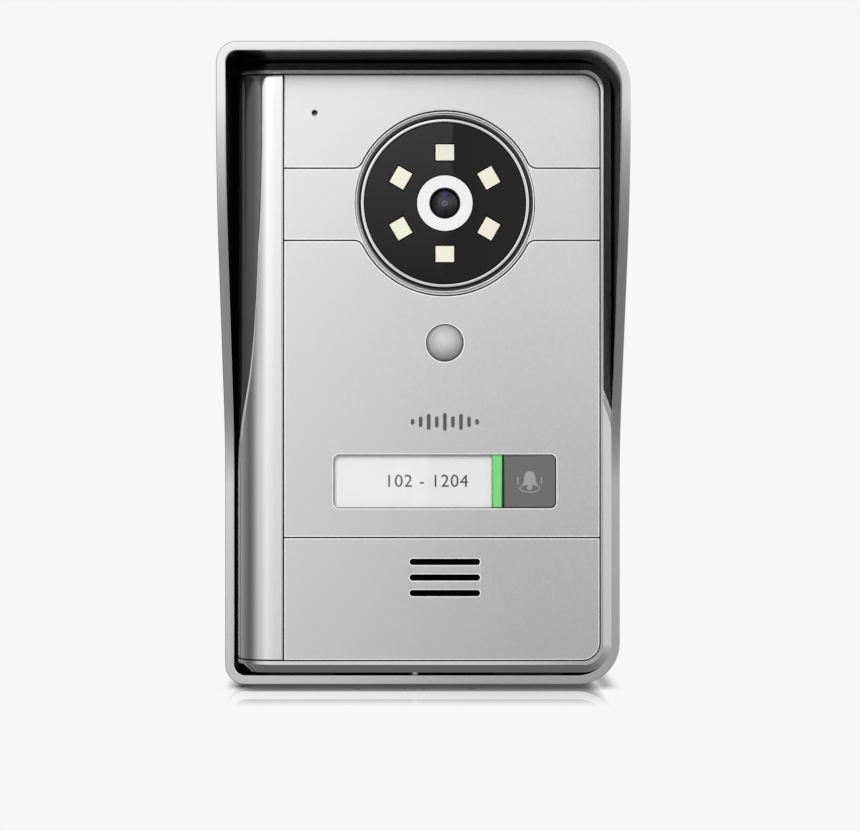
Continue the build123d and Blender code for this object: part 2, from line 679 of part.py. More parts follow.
def make_speaker_frame():
    """The basket: a pressed ring with a floor that carries the magnet."""
    profile = [(6.2, 22.9), (SPEAKER_R - 2, 22.9), (SPEAKER_R, 26.5), (SPEAKER_R, 28.2),
               (SPEAKER_R - 1.3, 28.2), (SPEAKER_R - 1.3, 26.7), (SPEAKER_R - 2.9, 23.9), (6.2, 23.9)]
    return turned(profile, MIDDLE_X, SPEAKER_Z)


def make_speaker_cone():
    profile = [(0, 25.2), (3.6, 25.2), (9.6, 27.4), (SPEAKER_R - 1.4, 27.4), (SPEAKER_R - 1.4, 27.8),
               (9.4, 27.8), (3.4, 25.6), (0, 25.6)]
    return turned(profile, MIDDLE_X, SPEAKER_Z)


def make_speaker_magnet():
    """The magnet under the basket, with the voice coil's stub through its floor."""
    return disc(MIDDLE_X, SPEAKER_Z, 8.5, 19.4, 22.8) + disc(MIDDLE_X, SPEAKER_Z, 3.0, 22.5, 25.0)


def make_mic_boot():
    boot = disc(MIC_X, MIC_Z, 4.2, 24.0, PLATE_BACK - 0.1)
    boot -= disc(MIC_X, MIC_Z, 3.05, 23, 27.4)
    return boot - disc(MIC_X, MIC_Z, 0.8, 23, 31)


# ---- boards, housing and fasteners -----------------------------------------------------------
def make_main_board():
    board = block(-BOARD_HALF_WIDTH, BOARD_HALF_WIDTH, -BOARD_HALF_HEIGHT, BOARD_HALF_HEIGHT,
                  BOARD_BACK, BOARD_FRONT)
    for x, z in BOARD_SCREWS:
        board -= disc(x, z, 1.2, BOARD_BACK - 1, BOARD_FRONT + 1)
    return board


def make_board_chips():
    """Processor, memory, audio amplifier and power controller on the board's back."""
    chips = [(5, 30, 14, 14), (-14, 30, 9, 12), (14, 4, 6, 6), (-16, 2, 8, 8)]
    return [block(x - w / 2, x + w / 2, z - h / 2, z + h / 2, BOARD_BACK - 1.3, BOARD_BACK)
            for x, z, w, h in chips]


def make_board_capacitors():
    return [disc(x, z, 3.9, 10.2, BOARD_BACK) for x in (-26, 26) for z in (-46, -36)]


def make_board_connectors():
    """The header to the key board and the one under the camera's sensor board."""
    key = block(-17, -7, NAME_MIDDLE_Z - 2, NAME_MIDDLE_Z + 2, BOARD_FRONT, KEY_BOARD_BACK)
    camera = block(MIDDLE_X - 5, MIDDLE_X + 5, CAMERA_Z - 2, CAMERA_Z + 2, BOARD_FRONT, 19.35)
    return [key, camera]


def terminal_poles():
    for index in range(TERMINAL_POLES):
        yield (index - (TERMINAL_POLES - 1) / 2) * TERMINAL_PITCH


def make_terminal_block():
    half = TERMINAL_POLES * TERMINAL_PITCH / 2
    body = block(-half, half, TERMINAL_BOTTOM, TERMINAL_TOP, TERMINAL_BACK, BOARD_BACK)
    for x in terminal_poles():
        body -= disc(x, TERMINAL_BOTTOM + 4, 1.9, TERMINAL_BACK - 1, TERMINAL_BACK + 4)
        body -= block(x - 1.6, x + 1.6, TERMINAL_TOP - 5, TERMINAL_TOP + 1, 13.0, 16.0)
    return body


def make_terminal_screws():
    screws = []
    for x in terminal_poles():
        z = TERMINAL_BOTTOM + 4
        screw = disc(x, z, 1.7, TERMINAL_BACK + 0.6, TERMINAL_BACK + 3.9)
        screws.append(screw - block(x - 2, x + 2, z - 0.3, z + 0.3, TERMINAL_BACK, TERMINAL_BACK + 1.3))
    return screws


def housing_outline(inset):
    return rounded(
        BODY_LEFT + 0.6 + inset,
        BODY_RIGHT - 0.6 - inset,
        BODY_BOTTOM + 0.6 + inset,
        BODY_TOP - 0.6 - inset,
        HOUSING_RADIUS_LEFT,
        BODY_RADIUS_RIGHT - inset,
    )


def make_rear_housing():
    """The rear tub, with screw columns, board standoffs, hook slots and a wiring opening."""
    floor_front = HOUSING_BACK + HOUSING_WALL
    tub = slab(housing_outline(0), HOUSING_BACK, HOUSING_FRONT)
    tub -= slab(housing_outline(HOUSING_WALL), floor_front, HOUSING_FRONT + 1)
    for x, z in HOUSING_SCREWS:
        tub += disc(x, z, 3.6, HOUSING_BACK, HOUSING_FRONT)
        tub -= disc(x, z, 1.6, HOUSING_BACK - 1, HOUSING_FRONT + 1)
        tub -= disc(x, z, 3.0, HOUSING_BACK - 1, floor_front + 0.4)
    for x, z in BOARD_SCREWS:
        tub += disc(x, z, 2.6, floor_front - 0.5, BOARD_BACK)
        tub -= disc(x, z, 1.0, floor_front + 1, BOARD_BACK + 1)
    for side in (-1, 1):
        middle = side * HOOK_X
        tub -= block(middle - 5, middle + 5, HOOK_Z - 3, HOOK_Z + 7, HOUSING_BACK - 1, floor_front + 1)
    return tub - block(-14, 14, -50, -22, HOUSING_BACK - 1, floor_front + 1)


def make_housing_seal():
    return slab(housing_outline(0.2) - housing_outline(HOUSING_WALL - 0.2), HOUSING_FRONT, FRAME_BACK)


def pan_screw(x, z, head_radius, shank_radius, head_front, head_back, tip):
    """A pan-head screw along Y, with a cross recess in its head."""
    screw = disc(x, z, head_radius, min(head_front, head_back), max(head_front, head_back))
    screw += disc(x, z, shank_radius, min(head_back, tip), max(head_back, tip))
    step = 0.9 if head_back > head_front else -0.9
    low, high = sorted((head_front, head_front + step))
    for width, height in ((2.2, 0.5), (0.5, 2.2)):
        screw -= block(x - width / 2, x + width / 2, z - height / 2, z + height / 2, low, high)
    return screw


def make_housing_screws():
    head = HOUSING_BACK + 0.5
    return [pan_screw(x, z, 2.75, 1.25, head, head + 1.8, WEB_BACK - 1) for x, z in HOUSING_SCREWS]


def make_board_screws():
    return [pan_screw(x, z, 2.2, 0.95, BOARD_FRONT + 1.3, BOARD_FRONT, BOARD_BACK - 5)
            for x, z in BOARD_SCREWS]


# ---- the assembly ----------------------------------------------------------------------------
def make_parts():
    yield "rain_hood", make_rain_hood()
    yield "hood_liner", make_hood_liner()
    yield "cable_grommet", make_cable_grommet()
    yield "locking_screw", make_locking_screw()
    yield "front_frame", make_front_frame()
    yield "side_column", make_side_column()
    yield "face_plate", make_face_plate()
    yield "camera_bezel", make_camera_bezel()
    yield "camera_trim_ring", make_camera_trim_ring()
    yield "camera_window", make_camera_window()
    yield "window_seal", ring(MIDDLE_X, CAMERA_Z, BEZEL_BORE_R - 0.1, 18.5, 28.95, 29.45)
    yield "lens_ring", ring(MIDDLE_X, CAMERA_Z, WHITE_RING_R, LENS_R + 0.05, 29.6, FACE_DEPTH + 0.3)
    yield "lens_barrel", make_lens_barrel()
    yield "lens_glass", make_lens_glass()
    yield "led_windows", make_led_windows()
    yield "night_leds", make_night_leds()
    yield "led_board", ring(MIDDLE_X, CAMERA_Z, 19.5, 6.5, 25.1, 26.3)
    yield "camera_carrier", make_camera_carrier()
    yield "sensor_holder", make_sensor_holder()
    yield "sensor_board", block(MIDDLE_X - 8, MIDDLE_X + 8, CAMERA_Z - 8, CAMERA_Z + 8, 19.4, 20.4)
    yield "pir_dome", make_pir_dome()
    yield "pir_sensor", make_pir_sensor()
    yield "sound_mark", make_sound_mark()
    yield "nameplate_tray", make_nameplate_tray()
    yield "nameplate_window", make_nameplate_window()
    yield "name_card", block(NAME_LEFT + 0.1, BAR_LEFT - 0.1, NAME_BOTTOM + 0.1, NAME_TOP - 0.1, 29.5, 29.8)
    yield "status_light_bar", make_status_light_bar()
    yield "call_button", make_call_button()
    yield "bell_symbol", make_bell_symbol()
    yield "call_switch", make_call_switch()
    yield "switch_plunger", make_switch_plunger()
    yield "key_board", block(-20, 34, -35.8, -18.9, KEY_BOARD_BACK, KEY_BOARD_FRONT)
    yield "key_lamps", make_key_lamps()
    yield "speaker_mesh", disc(MIDDLE_X, SPEAKER_Z, 12.4, 29.65, 29.9)
    yield "speaker_seal", ring(MIDDLE_X, SPEAKER_Z, SPEAKER_R - 0.2, 12.4, 28.25, 29.6)
    yield "speaker_frame", make_speaker_frame()
    yield "speaker_cone", make_speaker_cone()
    yield "speaker_magnet", make_speaker_magnet()
    yield "mic_boot", make_mic_boot()
    yield "mic_capsule", disc(MIC_X, MIC_Z, 3.0, 24.6, 27.3)
    yield "main_board", make_main_board()
    yield "board_chips", make_board_chips()
    yield "board_capacitors", make_board_capacitors()
    yield "board_connectors", make_board_connectors()
    yield "terminal_block", make_terminal_block()
    yield "terminal_screws", make_terminal_screws()
    yield "rear_housing", make_rear_housing()
    yield "housing_seal", make_housing_seal()
    yield "housing_screws", make_housing_screws()
    yield "board_screws", make_board_screws()


os.makedirs("parts", exist_ok=True)
for name, shape in make_parts():
    solid = Compound(children=shape) if isinstance(shape, list) else shape
    export_step(solid, f"parts/{name}.step")
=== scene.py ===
import json
import math

import bmesh
import bpy
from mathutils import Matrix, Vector


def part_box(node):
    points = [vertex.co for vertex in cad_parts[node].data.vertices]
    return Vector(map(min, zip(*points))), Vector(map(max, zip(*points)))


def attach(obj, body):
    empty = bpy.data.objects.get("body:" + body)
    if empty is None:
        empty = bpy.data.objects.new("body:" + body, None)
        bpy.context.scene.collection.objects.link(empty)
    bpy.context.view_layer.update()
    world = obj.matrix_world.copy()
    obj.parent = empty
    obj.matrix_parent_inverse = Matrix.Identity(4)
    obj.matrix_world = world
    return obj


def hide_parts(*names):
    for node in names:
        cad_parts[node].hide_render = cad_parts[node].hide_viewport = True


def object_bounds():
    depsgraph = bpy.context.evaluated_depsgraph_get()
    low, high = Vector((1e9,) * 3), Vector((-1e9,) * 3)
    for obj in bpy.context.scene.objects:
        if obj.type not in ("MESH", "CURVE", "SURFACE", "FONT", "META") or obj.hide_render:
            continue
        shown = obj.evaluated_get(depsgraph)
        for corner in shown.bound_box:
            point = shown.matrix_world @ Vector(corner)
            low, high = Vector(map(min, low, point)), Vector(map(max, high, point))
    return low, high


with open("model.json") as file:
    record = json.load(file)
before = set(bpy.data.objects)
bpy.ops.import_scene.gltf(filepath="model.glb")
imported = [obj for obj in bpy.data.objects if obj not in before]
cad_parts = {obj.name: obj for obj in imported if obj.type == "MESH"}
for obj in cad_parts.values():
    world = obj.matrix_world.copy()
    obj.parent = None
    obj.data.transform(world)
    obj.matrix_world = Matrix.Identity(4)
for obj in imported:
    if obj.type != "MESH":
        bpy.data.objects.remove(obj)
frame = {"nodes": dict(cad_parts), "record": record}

CAD_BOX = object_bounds()
MM = 0.001
PAPER_WHITE = 0.93            # the pale floor and the backdrop
SMOOTH_BELOW = math.radians(35)
BEVEL_ABOVE = math.radians(32)
SAME_POINT = 1e-7             # vertices nearer than this are one, in metres
SAME_CAD_POINT = 1e-6

# Driving dimensions of the hood's swept edge, in millimetres, as in the CAD part.
LOWER_DEPTH = 27.0
SWEEP_SLOPE = math.radians(21)
SWEEP_START_Z = -28.0
SWEEP_END_Z = 64.0
SWEEP_STEP = 1.5              # height between the points along the sweep
LOWER_SWEEP_RADIUS = 58.0
UPPER_SWEEP_RADIUS = 100.0
HOOD_RADIUS_LEFT = 5.0
HOOD_RADIUS_RIGHT = 10.5
HOOD_WALL = 1.0
HOOD_BACK = 1.5
ROOF_FALL = 1.6               # how much lower the roof is at its lip than at the wall
LIP_WIDTH = 2.3
LIP_THICKNESS = 1.2
GROMMET_LIP = 1.45            # how far the grommet's lip stands beyond its seat
DRAIN_OFFSET = 14.4
DRAIN_RADIUS = 0.9
SCREW_ROOM = 0.2              # round the locking screw's head
HOLE_CHAMFER = 0.25

# Driving dimensions of the face, in millimetres, as in the CAD part.
JOINT_GAP = 0.3
LINE_RADIUS = 4.65
SEAM_GAP = 0.15
COLUMN_CROWN_R = 37.0
COLUMN_CORNER_R = 7.7
COLUMN_WALL = 1.0
COLUMN_EASE = 0.12            # the radius of its ends' edges
LAND = 0.3                    # width of the rims along the face's edges, lightened as a painted highlight
LAND_DROP = 0.012
PLATE_HOLE_R = 22.35
BEZEL_BORE_R = 20.9
BEZEL_HIGHLIGHT = 0.34           # width of the bezel's outer edge in bright trim metal, a painted highlight
TRIM_WIDTH = 0.75
GLASS_RISE = 0.6              # how far the front glass bulges
ENGRAVED_R = 22.9
ENGRAVED_FILLET = 2.5
ENGRAVED_WIDTH = 0.31         # a little narrower than in the CAD part
ENGRAVED_DEPTH = 0.3
ENGRAVED_UPPER_Z = 50.3
ENGRAVED_MIDDLE_Z = 32.4
ENGRAVED_LOWER_Z = -41.3
LED_CIRCLE_R = 12.6
LED_WIDTH = 4.6
LED_HEIGHT = 4.0
LAMP_ROOM = 0.28              # the dark gap round each lamp window
RING_ROOM = 0.25              # the dark gap round the white ring
WINDOW_ROOM = 0.12            # the dark gap between the window and the bright ring
PIR_HOLE_R = 4.65
DOME_WALL = 0.8
MIC_X = -26.8
MIC_Z = 64.0
MIC_HOLE_R = 0.7
FIT_GAP = 0.15
NAME_RIGHT = 33.1
NAME_RADIUS = 1.45
KEY_GAP = 0.41
KEY_FLANGE = 0.95
RIM_LEAN = 0.06               # how much lower the frame's front rim is along its inner edge
SLOT_LENGTH = 17.4
SLOT_HEIGHT = 1.5
SLOT_PITCH = 3.87
NUMBER = "102 - 1204"
NUMBER_SIZE = 4.4
NUMBER_X = 1.0


def mm(*values):
    return Vector(values) * MM


# ---- places taken from the frame ---------------------------------------------------------------
class Box:
    """A CAD node's box in millimetres. Depths are distances in front of the wall."""

    def __init__(self, node):
        low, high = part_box(node)
        self.left, self.right = low.x / MM, high.x / MM
        self.low, self.high = low.z / MM, high.z / MM
        self.back, self.front = -high.y / MM, -low.y / MM
        self.x = (self.left + self.right) / 2
        self.z = (self.low + self.high) / 2
        self.radius = (self.right - self.left) / 2


SLOTS = {part["node"]: part["material_slot"] for part in frame["record"]["subparts"]}
BODIES = {node: body for body, nodes in frame["record"]["behaviour"]["bodies"].items() for node in nodes}


# ---- loops of points -----------------------------------------------------------------------------
def arc(x, z, radius, start, sweep, steps):
    """Points (x, z) along an arc. Angles in degrees, from +X towards +Z."""
    angles = [math.radians(start + sweep * i / steps) for i in range(steps + 1)]
    return [(x + radius * math.cos(a), z + radius * math.sin(a)) for a in angles]


def circle(x, z, radius, steps=128):
    return arc(x, z, radius, 0, 360, steps)[:-1]


def rounded(left, right, low, high, radius_left, radius_right, stops=(), steps=10):
    """A rectangle with one corner radius on each side and extra points at heights on the sides."""
    a = max(radius_left, 0.01)
    b = max(radius_right, 0.01)
    loop = arc(left + a, low + a, a, 180, 90, steps)
    loop += arc(right - b, low + b, b, 270, 90, steps)
    loop += [(right, z) for z in stops]
    loop += arc(right - b, high - b, b, 0, 90, steps)
    loop += arc(left + a, high - a, a, 90, 90, steps)
    loop += [(left, z) for z in reversed(stops)]
    return loop


def grown(loop, amount):
    """The loop moved outward by amount along its corners' normals. Loops run anticlockwise."""
    moved = []
    for i, here in enumerate(loop):
        before = Vector(here) - Vector(loop[i - 1])
        after = Vector(loop[(i + 1) % len(loop)]) - Vector(here)
        if before.length < 1e-9 or after.length < 1e-9:
            moved.append(here)
            continue
        first = Vector((before.y, -before.x)).normalized()
        second = Vector((after.y, -after.x)).normalized()
        normal = first + second
        normal = normal / max(normal.length_squared / 2, 0.2)
        moved.append(tuple(Vector(here) + normal * amount))
    return moved


def turned_about(loop, x, z, degrees):
    """The loop turned about a point."""
    c = math.cos(math.radians(degrees))
    s = math.sin(math.radians(degrees))
    return [(x + (px - x) * c - (pz - z) * s, z + (px - x) * s + (pz - z) * c) for px, pz in loop]


def lifted(loop, depth):
    """Points in space at one depth, or each at its own when depth is a list."""
    depths = depth if isinstance(depth, list) else [depth] * len(loop)
    return [mm(x, -level, z) for (x, z), level in zip(loop, depths)]


def eased(profile, radius, steps=3):
    """An open profile with its inner corners rounded."""
    points = [Vector(p) for p in profile]
    smooth = [points[0]]
    for before, corner, after in zip(points, points[1:], points[2:]):
        reach = min(radius, (corner - before).length * 0.45, (after - corner).length * 0.45)
        start = corner + (before - corner).normalized() * reach
        end = corner + (after - corner).normalized() * reach
        for i in range(steps + 1):
            t = i / steps
            smooth.append(start * (1 - t) ** 2 + corner * 2 * t * (1 - t) + end * t * t)
    smooth.append(points[-1])
    return [tuple(p) for p in smooth]


# ---- meshes from loops ---------------------------------------------------------------------------
def skin(mesh, rings, closed=False):
    """Quads between neighbouring rings of points."""
    rows = [[mesh.verts.new(point) for point in ring] for ring in rings]
    pairs = list(zip(rows, rows[1:] + rows[:1] if closed else rows[1:]))
    for row, following in pairs:
        for i in range(len(row)):
            mesh.faces.new((row[i - 1], row[i], following[i], following[i - 1]))
    return rows


def edges_of(row):
    """The edges that join a row's neighbouring points."""
    found = []
    for i in range(len(row)):
        found.append(next(edge for edge in row[i].link_edges if row[i - 1] in edge.verts))
    return found


def fill(mesh, rows):
    """A flat face with holes between loops that lie at one depth."""
    edges = [edge for row in rows for edge in edges_of(row)]
    bmesh.ops.triangle_fill(mesh, edges=edges, use_beauty=True, normal=(0, -1, 0))


def distinct(loop):
    """The loop without points that fall on their neighbour."""
    return [p for i, p in enumerate(loop) if (Vector(p) - Vector(loop[i - 1])).length > 1e-4]


def plate(mesh, outline, holes, back, front, rim):
    """A flat plate with holes. Its front edges follow rim, an open profile of (inset, drop) points."""
    bottoms = []
    tops = []
    for loop, side in [(outline, -1)] + [(hole, 1) for hole in holes]:
        loop = distinct(loop)
        rings = [lifted(loop, back)]
        rings += [lifted(grown(loop, side * inset), front - drop) for inset, drop in rim]
        rows = skin(mesh, rings)
        bottoms.append(rows[0])
        tops.append(rows[-1])
    fill(mesh, tops)
    fill(mesh, bottoms)


def round_rim(radius, steps=3):
    """A rim for plate(): a quarter round."""
    turns = [math.radians(90 * i / steps) for i in range(steps + 1)]
    return [(radius * (1 - math.cos(a)), radius * (1 - math.sin(a))) for a in turns]


def lathe(mesh, profile, x, z, steps=128):
    """A closed profile of (radius, depth) points turned about an axis along Y."""
    rings = [lifted(circle(x, z, max(radius, 0.001), steps), depth) for radius, depth in profile]
    skin(mesh, rings, closed=True)


def new_object(name, mesh):
    """An object in the scene from a finished bmesh."""
    data = bpy.data.meshes.new(name)
    mesh.to_mesh(data)
    mesh.free()
    made = bpy.data.objects.new(name, data)
    bpy.context.scene.collection.objects.link(made)
    return made


def piece(name, node, build, slots=None):
    """A detailed piece that stands for a CAD node, in its finish and on its body."""
    mesh = bmesh.new()
    build(mesh)
    bmesh.ops.remove_doubles(mesh, verts=mesh.verts, dist=SAME_POINT)
    bmesh.ops.recalc_face_normals(mesh, faces=mesh.faces)
    made = new_object(name, mesh)
    for slot in slots or [SLOTS[node]]:
        made.data.materials.append(MATERIALS[slot])
    dress(made)
    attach(made, BODIES[node])
    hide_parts(node)
    return made


def dress(made):
    """Smooth shading that keeps corners sharp and flat faces flat."""
    made.data.shade_smooth()
    made.data.set_sharp_from_angle(angle=SMOOTH_BELOW)
    weighted = made.modifiers.new("weighted", "WEIGHTED_NORMAL")
    weighted.keep_sharp = True


def eased_copy(node, width, shape=None, slots=None):
    """A copy of a CAD node's shape with its corners rounded, after shape has adjusted it."""
    def build(mesh):
        mesh.from_mesh(frame["nodes"][node].data)
        for part in mesh.faces:
            part.material_index = 0
        bmesh.ops.remove_doubles(mesh, verts=mesh.verts, dist=SAME_CAD_POINT)
        flat = math.radians(1)
        bmesh.ops.dissolve_limit(mesh, angle_limit=flat, verts=mesh.verts, edges=mesh.edges)
        if shape:
            shape(mesh)
    made = piece(node + "_eased", node, build, slots)
    bevel = made.modifiers.new("bevel", "BEVEL")
    bevel.width = width * MM
    bevel.segments = 2
    bevel.limit_method = "ANGLE"
    bevel.angle_limit = BEVEL_ABOVE
    bevel.harden_normals = False
    made.modifiers.move(1, 0)
    made.data.shade_smooth()


# ---- shader helpers --------------------------------------------------------------------------
class Nodes:
    """Short calls for building one node tree."""

    def __init__(self, tree):
        self.tree = tree
        tree.nodes.clear()

    def add(self, kind, inputs=(), **settings):
        node = self.tree.nodes.new(kind)
        for key, value in settings.items():
            setattr(node, key, value)
        for key, value in dict(inputs).items():
            if isinstance(value, bpy.types.NodeSocket):
                self.tree.links.new(value, node.inputs[key])
            else:
                node.inputs[key].default_value = value
        return node

    def math(self, operation, a, b=0.0):
        return self.add("ShaderNodeMath", {0: a, 1: b}, operation=operation).outputs[0]

    def times(self, a, b):
        return self.math("MULTIPLY", a, b)

    def ramp(self, value, stops, interpolation="LINEAR"):
        """A ramp through (position, grey or colour) stops."""
        node = self.add("ShaderNodeValToRGB", {0: value})
        ramp = node.color_ramp
        ramp.interpolation = interpolation
        while len(ramp.elements) < len(stops):
            ramp.elements.new(0.5)
        for element, (position, colour) in zip(ramp.elements, stops):
            element.position = position
            element.color = rgba(colour)
        return node.outputs[0]

    def noise(self, scale, detail, roughness, vector=None):
        vector = vector or self.position()
        return self.add("ShaderNodeTexNoise", {
            "Vector": vector, "Scale": scale, "Detail": detail, "Roughness": roughness,
        }).outputs[0]

    def position(self):
        return self.add("ShaderNodeTexCoord").outputs["Object"]

    def stretched(self, x, y, z):
        """The position with each axis scaled, for brushed and cast grain."""
        return self.add("ShaderNodeMapping", {"Vector": self.position(), "Scale": (x, y, z)}).outputs[0]

    def mix(self, factor, a, b):
        node = self.add("ShaderNodeMix", data_type="RGBA")
        for socket, value in ((node.inputs[0], factor), (node.inputs[6], a), (node.inputs[7], b)):
            if isinstance(value, bpy.types.NodeSocket):
                self.tree.links.new(value, socket)
            else:
                socket.default_value = value if socket == node.inputs[0] else rgba(value)
        return node.outputs[2]

    def span(self, value, low, high, to_low, to_high, smooth=False):
        return self.add("ShaderNodeMapRange", {
            "Value": value, "From Min": low, "From Max": high, "To Min": to_low, "To Max": to_high,
        }, interpolation_type="SMOOTHSTEP" if smooth else "LINEAR").outputs[0]

    def bump(self, height, distance):
        return self.add("ShaderNodeBump", {
            "Height": height, "Distance": distance, "Strength": 1.0,
        }).outputs[0]

    def point(self, x, depth, z):
        """A place in millimetres, for measuring from."""
        place = mm(x, -depth, z)
        return self.add("ShaderNodeCombineXYZ", {0: place.x, 1: place.y, 2: place.z}).outputs[0]

    def distance_from(self, point):
        settings = {0: self.position(), 1: point}
        return self.add("ShaderNodeVectorMath", settings, operation="DISTANCE").outputs[1]


def rgba(colour):
    if isinstance(colour, (int, float)):
        return (colour, colour, colour, 1.0)
    return tuple(colour[:3]) + (1.0,)


def material(name, build):
    made = bpy.data.materials.new(name)
    made.use_nodes = True
    nodes = Nodes(made.node_tree)
    shader = build(nodes)
    output = nodes.add("ShaderNodeOutputMaterial")
    made.node_tree.links.new(shader.outputs[0], output.inputs["Surface"])
    return made


def principled(nodes, **inputs):
    sockets = {key.replace("_", " "): value for key, value in inputs.items()}
    return nodes.add("ShaderNodeBsdfPrincipled", sockets)


# ---- materials -------------------------------------------------------------------------------
# How fine each texture is: noise cells in one metre.
METAL_GRAIN = 2600.0
METAL_CLOUD = 18.0
PLASTIC_GRAIN = 1800.0
PLASTIC_CLOUD = 60.0
COATING_SHADE = (0.62, 0.66, 1.0)     # the tint of the lens's faint rings
# a painted reflection in the lens's coating, above its middle
VIOLET_REFLECTION = (0.08, 0.09, 0.38)

for plain in list(bpy.data.materials):
    bpy.data.materials.remove(plain)


def metal(name, grey, roughness, grain, bump, stretch=None, metallic=1.0):
    """Bare or lacquered metal: fine grain in its colour, its roughness and its surface."""
    def build(nodes):
        vector = nodes.stretched(*stretch) if stretch else None
        fine = nodes.noise(METAL_GRAIN, 4.0, 0.6, vector)
        cloud = nodes.noise(METAL_CLOUD, 2.0, 0.5)
        colour = nodes.mix(nodes.span(fine, 0.3, 0.7, 0, 1), grey * (1 - grain), grey * (1 + grain))
        sparkle = nodes.span(fine, 0.3, 0.7, -0.02, 0.02)
        spread = nodes.math("ADD", sparkle, nodes.span(cloud, 0.3, 0.7, -0.01, 0.01))
        return principled(
            nodes, Base_Color=colour, Metallic=metallic, Roughness=nodes.math("ADD", spread, roughness),
            Normal=nodes.bump(fine, bump),
        )
    return material(name, build)


def plastic(name, colour, roughness, grain=0.06, bump=0.000004, ior=1.5):
    """Moulded plastic, rubber or ink: a fine spark texture and slight cloudiness."""
    def build(nodes):
        fine = nodes.noise(PLASTIC_GRAIN, 3.0, 0.6)
        cloud = nodes.noise(PLASTIC_CLOUD, 2.0, 0.5)
        base = rgba(colour)[:3]
        mixed = nodes.math("ADD", nodes.times(fine, 0.6), nodes.times(cloud, 0.4))
        dark = [c * (1 - grain) for c in base]
        light = [min(1.0, c * (1 + grain)) for c in base]
        tone = nodes.mix(nodes.span(mixed, 0.35, 0.65, 0, 1), dark, light)
        rough = nodes.span(cloud, 0.3, 0.7, roughness * 0.9, roughness * 1.1)
        inputs = {"Base_Color": tone, "Roughness": rough, "IOR": ior}
        if bump:
            inputs["Normal"] = nodes.bump(fine, bump)
        return principled(nodes, **inputs)
    return material(name, build)


def glow(name, colour, roughness, strength):
    """A lit translucent plastic: its own colour given off softly under a smooth skin."""
    def build(nodes):
        cloud = nodes.noise(220.0, 2.0, 0.5)
        tone = nodes.mix(nodes.span(cloud, 0.3, 0.7, 0, 1), [c * 0.97 for c in colour], colour)
        return principled(
            nodes, Base_Color=tone, Roughness=roughness, Emission_Color=tone, Emission_Strength=strength,
        )
    return material(name, build)


def clear(name, see_through):
    """Thin clear acrylic: what lies behind shows through, under a smooth gloss."""
    def build(nodes):
        smear = nodes.noise(90.0, 3.0, 0.6)
        body = nodes.add("ShaderNodeBsdfTransparent", {"Color": rgba(see_through)})
        gloss = nodes.add("ShaderNodeBsdfGlossy", {
            "Color": rgba(1.0), "Roughness": nodes.span(smear, 0.3, 0.7, 0.01, 0.03),
        })
        slant = nodes.add("ShaderNodeLayerWeight", {"Blend": 0.5}).outputs["Facing"]
        share = nodes.span(nodes.math("POWER", slant, 5.0), 0, 1, 0.045, 1.0)
        return nodes.add("ShaderNodeMixShader", {0: share, 1: body.outputs[0], 2: gloss.outputs[0]})
    return material(name, build)


def coated_lens(name):
    """The front glass: nearly black, with the faint rings of the elements behind and a painted violet
    reflection in its coating near the top.
    """
    def build(nodes):
        glass = Box("lens_glass")
        away = nodes.distance_from(nodes.point(glass.x, glass.front, glass.z))
        rings = nodes.ramp(nodes.span(away, 0.0, 3.5 * MM, 0, 1), [
            (0.0, 0.004), (0.06, 0.05), (0.13, 0.22), (0.2, 0.06), (0.3, 0.02), (0.36, 0.018), (0.4, 0.045),
            (0.44, 0.01), (0.5, 0.008), (0.54, 0.022), (0.58, 0.006), (0.9, 0.004), (1, 0.001),
        ])
        tinted = nodes.mix(1.0, rings, COATING_SHADE)
        tinted.node.blend_type = "MULTIPLY"
        # A violet spot above the middle of the glass: a painted reflection.
        patch = nodes.point(glass.x, glass.front, glass.z + glass.radius * 0.72)
        violet = nodes.span(nodes.distance_from(patch), 1.3 * MM, 0.0, 0.0, 0.8, smooth=True)
        cloud = nodes.times(violet, nodes.noise(1400.0, 3.0, 0.6))
        tone = nodes.mix(cloud, tinted, VIOLET_REFLECTION)
        return principled(nodes, Base_Color=tone, Roughness=0.02, IOR=1.5)
    return material(name, build)


def milky_dome_rim_shaded(name):
    """A thin milky lens. Its grey darkens from the middle towards the rim, painted shade where the dome
    turns from the front.
    """
    def build(nodes):
        dome = Box("pir_dome")
        away = nodes.distance_from(nodes.point(dome.x, dome.front, dome.z))
        cloud = nodes.noise(900.0, 3.0, 0.6)
        out = nodes.span(away, 0.0, 4.8 * MM, 0, 1)
        # The milky grey is the plastic's own; its fall towards the rim is painted shade.
        milk_and_rim_shade = nodes.ramp(out, [(0, 0.56), (0.35, 0.50), (0.8, 0.40), (1, 0.2)], "EASE")
        tone = nodes.mix(nodes.span(cloud, 0.3, 0.7, 0, 0.06), milk_and_rim_shade, (0.5, 0.5, 0.5))
        return principled(nodes, Base_Color=tone, Roughness=0.3, IOR=1.5, Normal=nodes.bump(cloud, 0.000001))
    return material(name, build)


